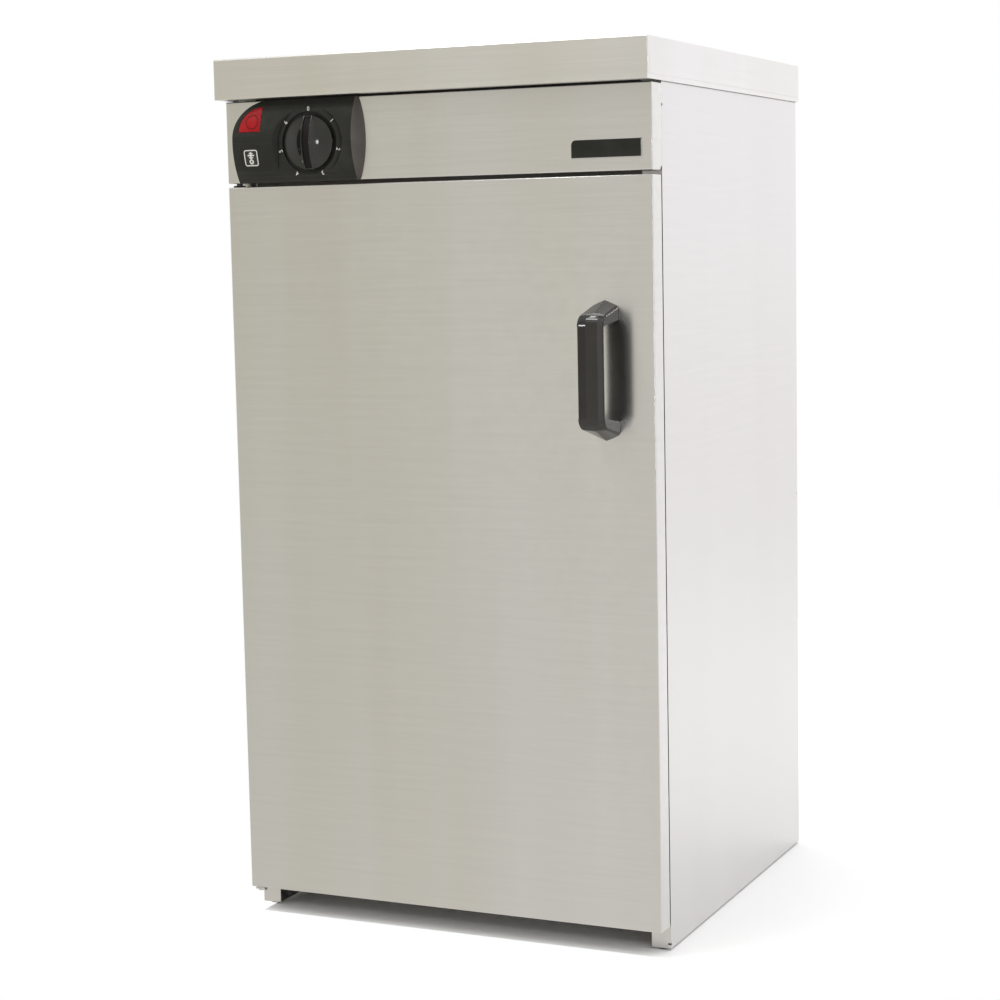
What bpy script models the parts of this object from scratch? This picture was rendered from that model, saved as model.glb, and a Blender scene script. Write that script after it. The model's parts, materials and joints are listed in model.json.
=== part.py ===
# Plate warmer cabinet: a heated cupboard that stands on the floor and keeps stacks of plates warm.
# Metres, +Z up, the front faces -Y. The origin is on the floor, under the middle of the footprint.
import math

import bmesh
import bpy
from mathutils import Matrix, Vector

MM = 0.001
FIT = 0.3 * MM  # gap left between pieces that touch
OVERRUN = 3 * MM  # how far a cut runs past what it cuts
ROUND_SIDES = 24
WIRE_SIDES = 8

# Body shell
BODY_W = 450 * MM
BODY_D = 416 * MM
SHEET = 1.0 * MM
LEG_W = 19.7 * MM  # width of the side panels' folded returns
BASE_CLEAR = 28 * MM  # floor to the underside of the base

# Glides under the four corners
GLIDE_H = 2.0 * MM
GLIDE_R = 7 * MM
GLIDE_STEM_R = 3 * MM
GLIDE_STEM_L = 7 * MM
GLIDE_IN = 10 * MM  # body's edges to the glide's middle

# Door
DOOR_H = 713.5 * MM
DOOR_D = 22 * MM
DOOR_BOTTOM = 24 * MM
DOOR_STANDOFF = 2.5 * MM  # door's rear to the body's front face
DOOR_SKIN = 1.0 * MM
DOOR_FLANGE = 20 * MM
INNER_PANEL_T = 1.0 * MM

# Fascia above the door
FASCIA_H = 80 * MM
FASCIA_GAP = 3.5 * MM

# Worktop
SKIRT_H = 39.2 * MM
SKIRT_GAP = 1.4 * MM
TOP_SHEET = 1.2 * MM
SIDE_OVERHANG = 2.8 * MM
FRONT_OVERHANG = 16.3 * MM
REAR_OVERHANG = 3.5 * MM

# Chamber
LINER_T = 0.8 * MM
LINER_ABOVE_DOOR_FOOT = 26 * MM  # door's lower edge to the liner's underside
LINER_BELOW_DOOR_TOP = 15.8 * MM
BACK_INSULATION = 21 * MM
ROOF_INSULATION = 20 * MM

# Rails across the front, between the side panels' returns
MIDDLE_RAIL_H = 23 * MM
UPPER_RAIL_H = 38 * MM
RAIL_D = 25 * MM
RAIL_T = 1.2 * MM

# Hinges
PIVOT_IN = 6.5 * MM  # door's edge to the pivot
PIVOT_BACK = 11.5 * MM  # door's face to the pivot
PIN_R = 3.0 * MM
PIN_HEAD_R = 4.6 * MM
PIN_HEAD_T = 1.2 * MM
PIN_REACH = 12 * MM  # length of the pin inside its bush
BRACKET_T = 2.0 * MM
BRACKET_DROP = 16 * MM
BUSH_R = 4.5 * MM
BUSH_FLANGE_R = 6.0 * MM
BUSH_FLANGE_T = 1.4 * MM

# Handle
HANDLE_REACH = 38 * MM
HANDLE_W = 27.2 * MM
HANDLE_FLAT_W = 11.6 * MM
HANDLE_CHAMFER = 5.7 * MM
HANDLE_H = 131 * MM
HANDLE_LEG_T = 18 * MM  # thickness of a leg at the door
HANDLE_LEG_LEAN = 18.5 * MM  # how far each end draws in from the door to the bar
HANDLE_BAR_T = 10.7 * MM
HANDLE_GRIP_FLARE = 5.5 * MM
HANDLE_IN = 49 * MM  # door's edge to the handle's middle
HANDLE_BELOW_TOP = 179.9 * MM  # door's top to the handle's middle
HANDLE_SCREW_R = 2.0 * MM
HANDLE_SCREW_HEAD_R = 4.5 * MM
HANDLE_SCREW_HEAD_T = 2.5 * MM
HANDLE_SCREW_DEPTH = 20 * MM

# Control housing, a moulding with a crowned front
HOUSING_LEFT = 15.7 * MM  # body's edge to the housing
HOUSING_W = 131.8 * MM
HOUSING_SAG = 12 * MM
HOUSING_EDGE_D = 3 * MM
HOUSING_CORNER_R = 36 * MM
HOUSING_END_SLOPE_SHARE = 0.54
HOUSING_WALL = 2.5 * MM
CROWN_STEPS = 16
DIAL_R = 35.2 * MM
DIAL_D = 9.5 * MM  # fascia's face to the dial
DIAL_FROM_LEFT = 83.2 * MM  # housing's left end to the dial's middle
DIAL_BELOW_MIDDLE = 3.1 * MM
WELL_SLOPE_SHARE = 0.65
LENS_R = 24.3 * MM
LENS_FROM_LEFT = 31.3 * MM  # housing's left end to the lens's square corner
LENS_ABOVE_MIDDLE = 9 * MM

# Pilot lamp behind the lens
LAMP_R = 5 * MM
LAMP_L = 24 * MM
LAMP_FLANGE_R = 8 * MM
LAMP_FLANGE_T = 2 * MM
LAMP_FRONT_D = 6 * MM
LAMP_IN_SHARE = 0.4

# Knob and thermostat
KNOB_R = 25.8 * MM
KNOB_RIM_T = 3.0 * MM
KNOB_CREST_D = 18.5 * MM  # fascia's face to the top of the grip bar
KNOB_BAR_W = 9.4 * MM
KNOB_DISH = 1.6 * MM
SPINDLE_R = 3.0 * MM
SPINDLE_IN_KNOB = 5.0 * MM
SPINDLE_IN_BODY = 11 * MM
THERMOSTAT_W = 42 * MM
THERMOSTAT_D = 32 * MM
BULB_R = 4.0 * MM
BULB_L = 72 * MM
BULB_BELOW_ROOF = 14 * MM
CLIP_T = 1.2 * MM
CLIP_W = 16 * MM
CAPILLARY_R = 1.2 * MM
CAPILLARY_BACK = 24 * MM
CAPILLARY_BEND_R = 9 * MM

# Badge plate, left blank
BADGE_W = 69.5 * MM
BADGE_H = 17 * MM
BADGE_T = 1.0 * MM
BADGE_FROM_RIGHT = 10.3 * MM
BADGE_ABOVE_FASCIA = 12.7 * MM

# Shelves and racks
SHELF_LEVELS = 3
SHELF_PITCH = 200 * MM
SHELF_WIRE_R = 2.5 * MM
SHELF_RUNG_R = 1.8 * MM
SHELF_RUNGS = 11
SHELF_END_CLEAR = 12.3 * MM  # chamber's front and back to the shelf
SHELF_SIDE_CLEAR = 5.2 * MM
RACK_POST_R = 2.0 * MM
RACK_END = 12 * MM  # liner's roof to the top of the posts
RACK_POST_IN_SHARE = 0.13

# Heating
ELEMENT_R = 4.0 * MM
ELEMENT_RISE = 17 * MM
ELEMENT_SPAN = 300 * MM
ELEMENT_TAIL_SPAN = 60 * MM
ELEMENT_BEND_R = 30 * MM
ELEMENT_FRONT = 60 * MM
GUARD_H = 34 * MM
GUARD_T = 1.0 * MM
GUARD_SLOTS = 7
GUARD_SLOT_W = 8 * MM
GUARD_MARGIN = 30 * MM
SUPPORT_W = 14 * MM
SUPPORT_T = 1.5 * MM
TAIL_OUT = 10 * MM  # liner's back to the element's ends
TERMINAL_W = 100 * MM
TERMINAL_H = 26 * MM

# Back
BACK_T = 1.0 * MM
BACK_INSET = 4 * MM
BACK_BOTTOM = 12 * MM
BACK_SCREW_R = 1.8 * MM
BACK_SCREW_HEAD_R = 3.8 * MM
BACK_SCREW_HEAD_T = 2.0 * MM
BACK_SCREW_IN = 9 * MM
BACK_SLOTS = 6
BACK_SLOT_W = 60 * MM
BACK_SLOT_H = 5 * MM
BACK_SLOT_PITCH = 11 * MM
GLAND_R = 9 * MM
GLAND_BORE_R = 4 * MM
GLAND_OUT = 8 * MM
GLAND_NECK_R = 6.5 * MM
GLAND_FROM_RIGHT = 60 * MM
GLAND_Z = 64 * MM

# Door gasket and catch
GASKET_W = 7 * MM
GASKET_T = 1.9 * MM
GASKET_OUT = 1.8 * MM  # chamber's edge to the gasket
CATCH_W = 40 * MM
CATCH_H = 5 * MM
CATCH_D = 16 * MM
STRIKER_T = 1.4 * MM
CATCH_FROM_RIGHT = 62 * MM

# Planes and levels that the pieces share
BODY_FACE_IN = DOOR_D + DOOR_STANDOFF
BACK_FACE_IN = BODY_FACE_IN + BODY_D + FIT + BACK_T
DOOR_FACE_Y = (HANDLE_REACH - BACK_FACE_IN - FIT - GLAND_OUT) / 2
BODY_FACE_Y = DOOR_FACE_Y + BODY_FACE_IN
BODY_BACK_Y = BODY_FACE_Y + BODY_D
BACK_FACE_Y = DOOR_FACE_Y + BACK_FACE_IN
HALF_W = BODY_W / 2
DOOR_TOP = DOOR_BOTTOM + DOOR_H
LINER_BOTTOM = DOOR_BOTTOM + LINER_ABOVE_DOOR_FOOT
LINER_TOP = DOOR_TOP - LINER_BELOW_DOOR_TOP
FASCIA_Z = DOOR_TOP + FASCIA_GAP
FASCIA_TOP = FASCIA_Z + FASCIA_H
SKIRT_Z = FASCIA_TOP + SKIRT_GAP
WORKTOP_Z = SKIRT_Z + SKIRT_H
BODY_TOP = WORKTOP_Z - TOP_SHEET - FIT
LINER_HALF_W = HALF_W - LEG_W - FIT
LINER_BACK_Y = BODY_BACK_Y - SHEET - BACK_INSULATION - 2 * FIT
MIDDLE_RAIL_Z = LINER_TOP + FIT
PIVOT = Vector((-HALF_W + PIVOT_IN, DOOR_FACE_Y + PIVOT_BACK, 0))
HOUSING_X = -HALF_W + HOUSING_LEFT
HOUSING_Z = FASCIA_Z + FASCIA_H / 2
HOUSING_BACK_Y = DOOR_FACE_Y - FIT
HOUSING_HALF_H = FASCIA_H / 2 - FIT
KNOB_X = HOUSING_X + DIAL_FROM_LEFT
KNOB_Z = HOUSING_Z - DIAL_BELOW_MIDDLE
HANDLE_X = HALF_W - HANDLE_IN
HANDLE_Z = DOOR_TOP - HANDLE_BELOW_TOP
HANDLE_BAR_H = HANDLE_H - 2 * HANDLE_LEG_LEAN
HANDLE_GRIP_H = HANDLE_H - 2 * (HANDLE_LEG_T + HANDLE_GRIP_FLARE)
SHELF_SIDE_X = LINER_HALF_W - LINER_T - SHELF_SIDE_CLEAR - SHELF_WIRE_R
SHELF_FRONT_Y = BODY_FACE_Y + SHELF_END_CLEAR
SHELF_D = LINER_BACK_Y - LINER_T - SHELF_END_CLEAR - SHELF_FRONT_Y
SHELF_BASE_Z = LINER_BOTTOM + LINER_T + GUARD_H + FIT + 4 * SHELF_WIRE_R

# What moves with the door and with the knob
DOOR_PIECES = (
    "door_outer_panel",
    "door_inner_panel",
    "door_insulation",
    "door_gasket",
    "door_handle",
    "handle_screw_upper",
    "handle_screw_lower",
    "hinge_bush_top",
    "hinge_bush_bottom",
    "catch_striker",
)
KNOB_PIECES = ("control_knob", "thermostat_spindle")


def clear_scene():
    for item in list(bpy.data.objects):
        bpy.data.objects.remove(item, do_unlink=True)
    for group in list(bpy.data.collections):
        bpy.data.collections.remove(group)


def new_collection(name):
    group = bpy.data.collections.new(name)
    bpy.context.scene.collection.children.link(group)
    return group


def new_material(name, colour, roughness, metallic):
    material = bpy.data.materials.new(name)
    material.use_nodes = True
    shader = material.node_tree.nodes["Principled BSDF"]
    shader.inputs["Base Color"].default_value = (*colour, 1)
    shader.inputs["Roughness"].default_value = roughness
    shader.inputs["Metallic"].default_value = metallic
    return material


def new_object(name, mesh, material=None, place=(0, 0, 0)):
    """Add a visible part, or a cutter where no material is given."""
    item = bpy.data.objects.new(name, mesh)
    item.location = place
    if material:
        mesh.materials.append(material)
        PARTS.objects.link(item)
    else:
        CUTTERS.objects.link(item)
        item.hide_render = True
        item.display_type = "WIRE"
    return item


def mesh_from(bm, name):
    bmesh.ops.recalc_face_normals(bm, faces=bm.faces)
    mesh = bpy.data.meshes.new(name)
    bm.to_mesh(mesh)
    bm.free()
    return mesh


def block(name, low, high, material=None):
    """A plain block between two corners, with its origin in its middle."""
    low, high = Vector(low), Vector(high)
    bm = bmesh.new()
    bmesh.ops.create_cube(bm, size=1)
    bmesh.ops.scale(bm, vec=high - low, verts=bm.verts)
    return new_object(name, mesh_from(bm, name), material, (low + high) / 2)


def pan(name, low, high, open_side, sheet, material, flange=0):
    """A folded sheet tray: five sides of a block, and a flange turned in at the open side."""
    low, high = Vector(low), Vector(high)
    side = Vector(open_side)
    bm = bmesh.new()
    bmesh.ops.create_cube(bm, size=1)
    bmesh.ops.scale(bm, vec=high - low, verts=bm.verts)
    opening = max(bm.faces, key=lambda face: face.normal.dot(side))
    if flange:
        bmesh.ops.inset_region(bm, faces=[opening], thickness=flange, use_even_offset=True)
    bmesh.ops.delete(bm, geom=[opening], context="FACES")
    mesh = bpy.data.meshes.new(name)
    bm.to_mesh(mesh)
    bm.free()
    item = new_object(name, mesh, material, (low + high) / 2)
    wall = item.modifiers.new("sheet", "SOLIDIFY")
    wall.thickness = sheet
    wall.offset = -1
    wall.use_even_offset = True
    return item


def round_bar(name, start, end, radius, material=None, end_radius=None, sides=ROUND_SIDES):
    """A round bar or cone frustum from start to end."""
    start, end = Vector(start), Vector(end)
    span = end - start
    bm = bmesh.new()
    bmesh.ops.create_cone(
        bm,
        cap_ends=True,
        segments=sides,
        radius1=radius,
        radius2=radius if end_radius is None else end_radius,
        depth=span.length,
    )
    mesh = bpy.data.meshes.new(name)
    bm.to_mesh(mesh)
    bm.free()
    mesh.shade_smooth()
    mesh.set_sharp_from_angle(angle=math.radians(40))
    item = new_object(name, mesh, material, (start + end) / 2)
    item.rotation_euler = span.to_track_quat("Z", "Y").to_euler()
    return item


def outline_prism(name, points, low, high, material=None, axis="Y"):
    """A flat outline extruded along an axis from low to high, as a mesh."""
    curve = bpy.data.curves.new(name, "CURVE")
    curve.dimensions = "2D"
    curve.fill_mode = "BOTH"
    curve.extrude = (high - low) / 2
    spline = curve.splines.new("POLY")
    spline.points.add(len(points) - 1)
    for point, (u, v) in zip(spline.points, points):
        point.co = (u, v, 0, 1)
    spline.use_cyclic_u = True
    turns = {
        "X": Matrix(((0, 0, 1), (1, 0, 0), (0, 1, 0))),
        "Y": Matrix(((1, 0, 0), (0, 0, -1), (0, 1, 0))),
        "Z": Matrix.Identity(3),
    }
    middle = (low + high) / 2
    places = {"X": (middle, 0, 0), "Y": (0, middle, 0), "Z": (0, 0, middle)}
    matrix = Matrix.Translation(places[axis]) @ turns[axis].to_4x4()
    return curve_to_part(name, curve, material, matrix)


def curve_to_part(name, curve, material, matrix):
    guide = bpy.data.objects.new(name + "_curve", curve)
    CUTTERS.objects.link(guide)
    bpy.context.view_layer.update()
    mesh = bpy.data.meshes.new_from_object(guide.evaluated_get(bpy.context.evaluated_depsgraph_get()))
    bpy.data.objects.remove(guide, do_unlink=True)
    bm = bmesh.new()
    bm.from_mesh(mesh)
    bmesh.ops.remove_doubles(bm, verts=bm.verts, dist=FIT / 30)
    bm.to_mesh(mesh)
    bm.free()
    mesh.materials.clear()
    item = new_object(name, mesh, material)
    item.matrix_world = matrix
    return item


def tube(name, points, radius, material, resolution=2):
    """A bent tube with round corners through the given points."""
    curve = bpy.data.curves.new(name, "CURVE")
    curve.dimensions = "3D"
    curve.bevel_depth = radius
    curve.bevel_resolution = resolution
    curve.use_fill_caps = True
    spline = curve.splines.new("POLY")
    spline.points.add(len(points) - 1)
    for point, place in zip(spline.points, points):
        point.co = (*place, 1)
    return curve_to_part(name, curve, material, Matrix.Identity(4))


def rounded_route(corners, radius, steps=5):
    """The corners of a route, each replaced by an arc of the given radius."""
    corners = [Vector(corner) for corner in corners]
    route = [corners[0]]
    for before, corner, after in zip(corners, corners[1:], corners[2:]):
        back, ahead = (before - corner).normalized(), (after - corner).normalized()
        half = back.angle(ahead) / 2
        reach = radius / math.tan(half)
        middle = corner + (back + ahead).normalized() * radius / math.sin(half)
        first, last = corner + back * reach - middle, corner + ahead * reach - middle
        for step in range(steps + 1):
            route.append(middle + first.slerp(last, step / steps).normalized() * radius)
    route.append(corners[-1])
    return route


def carry(item, pivot):
    """Hang a piece and its cutters on the empty at its joint, where they are."""
    item.parent = pivot
    item.matrix_parent_inverse = Matrix.Translation(-pivot.location)
    for change in item.modifiers:
        if change.type == "BOOLEAN":
            carry(change.object, pivot)


def make_pivots():
    """The door turns about its pins and the knob about its spindle."""
    knob_axis = Vector((KNOB_X, HOUSING_BACK_Y - DIAL_D, KNOB_Z))
    door_middle = Vector((0, 0, (DOOR_BOTTOM + DOOR_TOP) / 2))
    for name, place, pieces in (
        ("door_pivot", PIVOT + door_middle, DOOR_PIECES),
        ("knob_pivot", knob_axis, KNOB_PIECES),
    ):
        pivot = bpy.data.objects.new(name, None)
        pivot.location = place
        pivot.empty_display_size = DOOR_D
        PARTS.objects.link(pivot)
        for piece in pieces:
            carry(PARTS.objects[piece], pivot)


def boolean(target, other, operation):
    change = target.modifiers.new(operation.lower(), "BOOLEAN")
    change.operation = operation
    change.solver = "EXACT"
    change.object = other


def cut(target, *cutters):
    for cutter in cutters:
        boolean(target, cutter, "DIFFERENCE")


def join(target, *pieces):
    for piece in pieces:
        boolean(target, piece, "UNION")


def arc(middle, radius, start, end, steps):
    """Points of an arc in a plane; the angles are in degrees."""
    angles = [math.radians(start + (end - start) * step / steps) for step in range(steps + 1)]
    return [(middle[0] + radius * math.cos(a), middle[1] + radius * math.sin(a)) for a in angles]


def make_worktop():
    pan(
        "worktop",
        (-HALF_W - SIDE_OVERHANG, DOOR_FACE_Y - FRONT_OVERHANG, SKIRT_Z),
        (HALF_W + SIDE_OVERHANG, BODY_BACK_Y + REAR_OVERHANG, WORKTOP_Z),
        (0, 0, -1),
        TOP_SHEET,
        STEEL,
    )


def make_side_panels():
    """Each side panel is a tray that opens inwards; its front return is the leg."""
    for name, side in (("left_side_panel", -1), ("right_side_panel", 1)):
        inner, outer = side * (HALF_W - LEG_W), side * HALF_W
        panel = pan(
            name,
            (min(inner, outer), BODY_FACE_Y, GLIDE_H),
            (max(inner, outer), BODY_BACK_Y, BODY_TOP),
            (-side, 0, 0),
            SHEET,
            PALE_STEEL,
        )
        glide_holes(panel, side)
        back_screw_holes(panel, side)
        if side < 0:
            bracket_slots(panel)


def glide_places(side):
    for name, y in (("front", BODY_FACE_Y + GLIDE_IN), ("rear", BODY_BACK_Y - GLIDE_IN)):
        yield name, Vector((side * (HALF_W - GLIDE_IN), y, 0))


def glide_holes(panel, side):
    for name, place in glide_places(side):
        hole = round_bar(
            panel.name + "_glide_hole_" + name,
            place + Vector((0, 0, GLIDE_H - OVERRUN)),
            place + Vector((0, 0, GLIDE_H + SHEET + OVERRUN)),
            GLIDE_STEM_R + FIT,
        )
        cut(panel, hole)


def make_glides():
    """A low nylon foot under each corner, its stem pushed through the panel's folded bottom edge."""
    for side_name, side in (("left", -1), ("right", 1)):
        for name, place in glide_places(side):
            foot = round_bar(
                f"glide_{name}_{side_name}", place, place + Vector((0, 0, GLIDE_H - FIT)), GLIDE_R, NYLON
            )
            stem = round_bar(
                foot.name + "_stem",
                place + Vector((0, 0, GLIDE_H / 2)),
                place + Vector((0, 0, GLIDE_H + GLIDE_STEM_L)),
                GLIDE_STEM_R,
            )
            join(foot, stem)


def back_screw_places(side):
    span = BODY_TOP - SKIRT_H - BACK_BOTTOM
    for name, share in (("lower", 0.08), ("upper", 0.92)):
        yield name, side * (HALF_W - BACK_SCREW_IN), BACK_BOTTOM + span * share


def back_screw_holes(panel, side):
    for name, x, z in back_screw_places(side):
        hole = round_bar(
            panel.name + "_screw_hole_" + name,
            (x, BODY_BACK_Y - SHEET - OVERRUN, z),
            (x, BODY_BACK_Y + OVERRUN, z),
            BACK_SCREW_R + FIT,
        )
        cut(panel, hole)


def make_back():
    panel = block(
        "back_panel",
        (-HALF_W + BACK_INSET, BODY_BACK_Y + FIT, BACK_BOTTOM),
        (HALF_W - BACK_INSET, BACK_FACE_Y, SKIRT_Z - BACK_INSET),
        STEEL,
    )
    for side_name, side in (("left", -1), ("right", 1)):
        for name, x, z in back_screw_places(side):
            hole = round_bar(
                f"back_hole_{name}_{side_name}",
                (x, BODY_BACK_Y - OVERRUN, z),
                (x, BACK_FACE_Y + OVERRUN, z),
                BACK_SCREW_R + FIT,
            )
            cut(panel, hole)
            shank = round_bar(
                f"back_screw_{name}_{side_name}",
                (x, BODY_BACK_Y - SHEET - OVERRUN, z),
                (x, BACK_FACE_Y + FIT + BACK_SCREW_HEAD_T / 2, z),
                BACK_SCREW_R,
                SCREW_STEEL,
            )
            head = round_bar(
                shank.name + "_head",
                (x, BACK_FACE_Y + FIT, z),
                (x, BACK_FACE_Y + FIT + BACK_SCREW_HEAD_T, z),
                BACK_SCREW_HEAD_R,
                end_radius=BACK_SCREW_HEAD_R - BACK_SCREW_HEAD_T / 2,
            )
            join(shank, head)
    slots_top = FASCIA_TOP - BACK_SLOT_PITCH
    for index in range(BACK_SLOTS):
        z = slots_top - index * BACK_SLOT_PITCH
        slot = block(
            f"back_slot_{index}",
            (-BACK_SLOT_W / 2, BODY_BACK_Y - OVERRUN, z - BACK_SLOT_H / 2),
            (BACK_SLOT_W / 2, BACK_FACE_Y + OVERRUN, z + BACK_SLOT_H / 2),
        )
        cut(panel, slot)
    make_cable_gland(panel)


def make_cable_gland(panel):
    """A snap-in gland for the mains lead, with its neck through the back panel."""
    x = HALF_W - GLAND_FROM_RIGHT
    hole = round_bar(
        "gland_hole",
        (x, BODY_BACK_Y - OVERRUN, GLAND_Z),
        (x, BACK_FACE_Y + OVERRUN, GLAND_Z),
        GLAND_NECK_R + FIT,
    )
    cut(panel, hole)
    neck = round_bar(
        "cable_gland",
        (x, BODY_BACK_Y - GLAND_OUT, GLAND_Z),
        (x, BACK_FACE_Y + FIT + GLAND_OUT / 2, GLAND_Z),
        GLAND_NECK_R,
        BLACK_PLASTIC,
    )
    collar = round_bar(
        "gland_collar",
        (x, BACK_FACE_Y + FIT, GLAND_Z),
        (x, BACK_FACE_Y + FIT + GLAND_OUT, GLAND_Z),
        GLAND_R,
        end_radius=GLAND_R - HOUSING_WALL,
    )
    bore = round_bar(
        "gland_bore",
        (x, BODY_BACK_Y - GLAND_OUT - OVERRUN, GLAND_Z),
        (x, BACK_FACE_Y + GLAND_OUT + OVERRUN, GLAND_Z),
        GLAND_BORE_R,
    )
    join(neck, collar)
    cut(neck, bore)


def make_base():
    """The base is a tray between the side panels, and the lower front rail closes it in front."""
    pan(
        "base_panel",
        (-LINER_HALF_W, BODY_FACE_Y + RAIL_D + FIT, BASE_CLEAR),
        (LINER_HALF_W, BODY_BACK_Y - SHEET - FIT, LINER_BOTTOM - FIT),
        (0, 0, 1),
        SHEET,
        STEEL,
    )


def make_rail(name, low_z, high_z):
    return pan(
        name,
        (-LINER_HALF_W, BODY_FACE_Y, low_z),
        (LINER_HALF_W, BODY_FACE_Y + RAIL_D, high_z),
        (0, 1, 0),
        RAIL_T,
        STEEL,
    )


def make_rails():
    make_rail("lower_front_rail", BASE_CLEAR, LINER_BOTTOM - FIT)
    middle = make_rail("middle_front_rail", MIDDLE_RAIL_Z, MIDDLE_RAIL_Z + MIDDLE_RAIL_H)
    make_rail("upper_front_rail", BODY_TOP - UPPER_RAIL_H, BODY_TOP)
    low, high = catch_box()
    grow = Vector((FIT, OVERRUN, FIT))
    cut(middle, block("catch_slot", low - grow, Vector(low) + Vector((CATCH_W, 0, CATCH_H)) + grow))


def make_chamber():
    """The liner is the heated chamber's box, open in front, and insulation lies round it."""
    liner = pan(
        "chamber_liner",
        (-LINER_HALF_W, BODY_FACE_Y, LINER_BOTTOM),
        (LINER_HALF_W, LINER_BACK_Y, LINER_TOP),
        (0, -1, 0),
        LINER_T,
        LINER_STEEL,
    )
    for name, x in element_tails():
        hole = round_bar(
            "liner_" + name,
            (x, LINER_BACK_Y - LINER_T - OVERRUN, element_z()),
            (x, LINER_BACK_Y + OVERRUN, element_z()),
            ELEMENT_R + FIT,
        )
        cut(liner, hole)
    hole = round_bar(
        "liner_capillary_hole",
        (KNOB_X, capillary_y(), LINER_TOP - LINER_T - OVERRUN),
        (KNOB_X, capillary_y(), LINER_TOP + OVERRUN),
        CAPILLARY_R + FIT,
    )
    cut(liner, hole)
    for name, side in (("left_insulation", -1), ("right_insulation", 1)):
        inner, outer = side * (LINER_HALF_W + FIT), side * (HALF_W - SHEET - FIT)
        block(
            name,
            (min(inner, outer), BODY_FACE_Y + SHEET + BRACKET_T + 2 * FIT, BASE_CLEAR),
            (max(inner, outer), BODY_BACK_Y - SHEET - OVERRUN - FIT, LINER_TOP),
            WOOL,
        )
    block(
        "top_insulation",
        (-LINER_HALF_W, capillary_y() + ROOF_INSULATION / 2, LINER_TOP + FIT),
        (LINER_HALF_W, BODY_BACK_Y - SHEET - FIT, LINER_TOP + FIT + ROOF_INSULATION),
        WOOL,
    )
    block(
        "back_insulation",
        (-LINER_HALF_W, LINER_BACK_Y + FIT, terminal_top() + FIT),
        (LINER_HALF_W, BODY_BACK_Y - SHEET - FIT, LINER_TOP),
        WOOL,
    )


def element_z():
    return LINER_BOTTOM + LINER_T + ELEMENT_RISE


def element_tails():
    for name, side in (("tail_hole_left", -1), ("tail_hole_right", 1)):
        yield name, side * ELEMENT_TAIL_SPAN / 2


def terminal_top():
    return element_z() + TERMINAL_H / 2


def make_element():
    """A bent tubular element that goes in and out through the liner's back."""
    z = element_z()
    near, far = ELEMENT_TAIL_SPAN / 2, ELEMENT_SPAN / 2
    front = BODY_FACE_Y + ELEMENT_FRONT
    rear = LINER_BACK_Y - ELEMENT_FRONT
    end = LINER_BACK_Y + TAIL_OUT
    turn = (near + far) / 2
    corners = [
        (-near, end, z),
        (-near, rear - ELEMENT_BEND_R, z),
        (-turn, rear - ELEMENT_BEND_R, z),
        (-turn, rear, z),
        (-far, rear, z),
        (-far, front, z),
    ]
    route = corners + [(-x, y, height) for x, y, height in reversed(corners)]
    tube("heating_element", rounded_route(route, ELEMENT_BEND_R / 3), ELEMENT_R, INCOLOY)
    support = block(
        "element_support",
        (-SUPPORT_W / 2, front - SUPPORT_W / 2, LINER_BOTTOM + LINER_T + FIT),
        (SUPPORT_W / 2, front + SUPPORT_W / 2, z - ELEMENT_R - FIT),
        STEEL,
    )
    floor = LINER_BOTTOM + LINER_T + FIT + SUPPORT_T
    window = block(
        "support_window",
        (-SUPPORT_W / 2 - OVERRUN, front - SUPPORT_W / 2 + SUPPORT_T, floor),
        (SUPPORT_W / 2 + OVERRUN, front + SUPPORT_W, z - ELEMENT_R - FIT - SUPPORT_T),
    )
    cut(support, window)
    terminal = block(
        "terminal_block",
        (-TERMINAL_W / 2, LINER_BACK_Y + FIT, z - TERMINAL_H / 2),
        (TERMINAL_W / 2, BODY_BACK_Y - SHEET, terminal_top()),
        PALE_PLASTIC,
    )
    for name, x in element_tails():
        hole = round_bar(
            "terminal_" + name,
            (x, LINER_BACK_Y - OVERRUN, z),
            (x, LINER_BACK_Y + TAIL_OUT + FIT, z),
            ELEMENT_R + FIT,
        )
        cut(terminal, hole)
    make_guard()


def make_guard():
    """A slotted tray turned over the element keeps plates off it."""
    floor = LINER_BOTTOM + LINER_T + FIT
    inner = LINER_HALF_W - LINER_T - FIT
    low_y, high_y = BODY_FACE_Y + SUPPORT_W, LINER_BACK_Y - LINER_T - FIT
    guard = pan(
        "element_guard",
        (-inner, low_y, floor),
        (inner, high_y, floor + GUARD_H - FIT),
        (0, 0, -1),
        GUARD_T,
        STEEL,
    )
    pitch = (2 * inner - 2 * GUARD_MARGIN) / (GUARD_SLOTS - 1)
    for index in range(GUARD_SLOTS):
        x = -inner + GUARD_MARGIN + index * pitch
        slot = block(
            f"guard_slot_{index}",
            (x - GUARD_SLOT_W / 2, low_y + GUARD_MARGIN, floor + GUARD_H - GUARD_T - OVERRUN),
            (x + GUARD_SLOT_W / 2, high_y - GUARD_MARGIN, floor + GUARD_H + OVERRUN),
        )
        cut(guard, slot)
    for name, x in element_tails():
        notch = block(
            "guard_" + name,
            (x - ELEMENT_R - FIT, high_y - GUARD_MARGIN / 2, floor - OVERRUN),
            (x + ELEMENT_R + FIT, high_y + OVERRUN, element_z() + ELEMENT_R + FIT),
        )
        cut(guard, notch)


def shelf_z(level):
    """Height of the middle of a shelf's frame wire."""
    return SHELF_BASE_Z + level * SHELF_PITCH


def wire_union(name, bars, material):
    """Round bars that overlap each other, joined into one solid; each bar is start, end, radius."""
    first = None
    for index, (start, end, radius) in enumerate(bars):
        piece = round_bar(f"{name}_wire_{index}", start, end, radius, sides=WIRE_SIDES)
        if first is None:
            first = piece
            first.name = name
            CUTTERS.objects.unlink(first)
            PARTS.objects.link(first)
            first.data.materials.append(material)
            first.hide_render = False
            first.display_type = "TEXTURED"
        else:
            join(first, piece)
    return first


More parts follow.
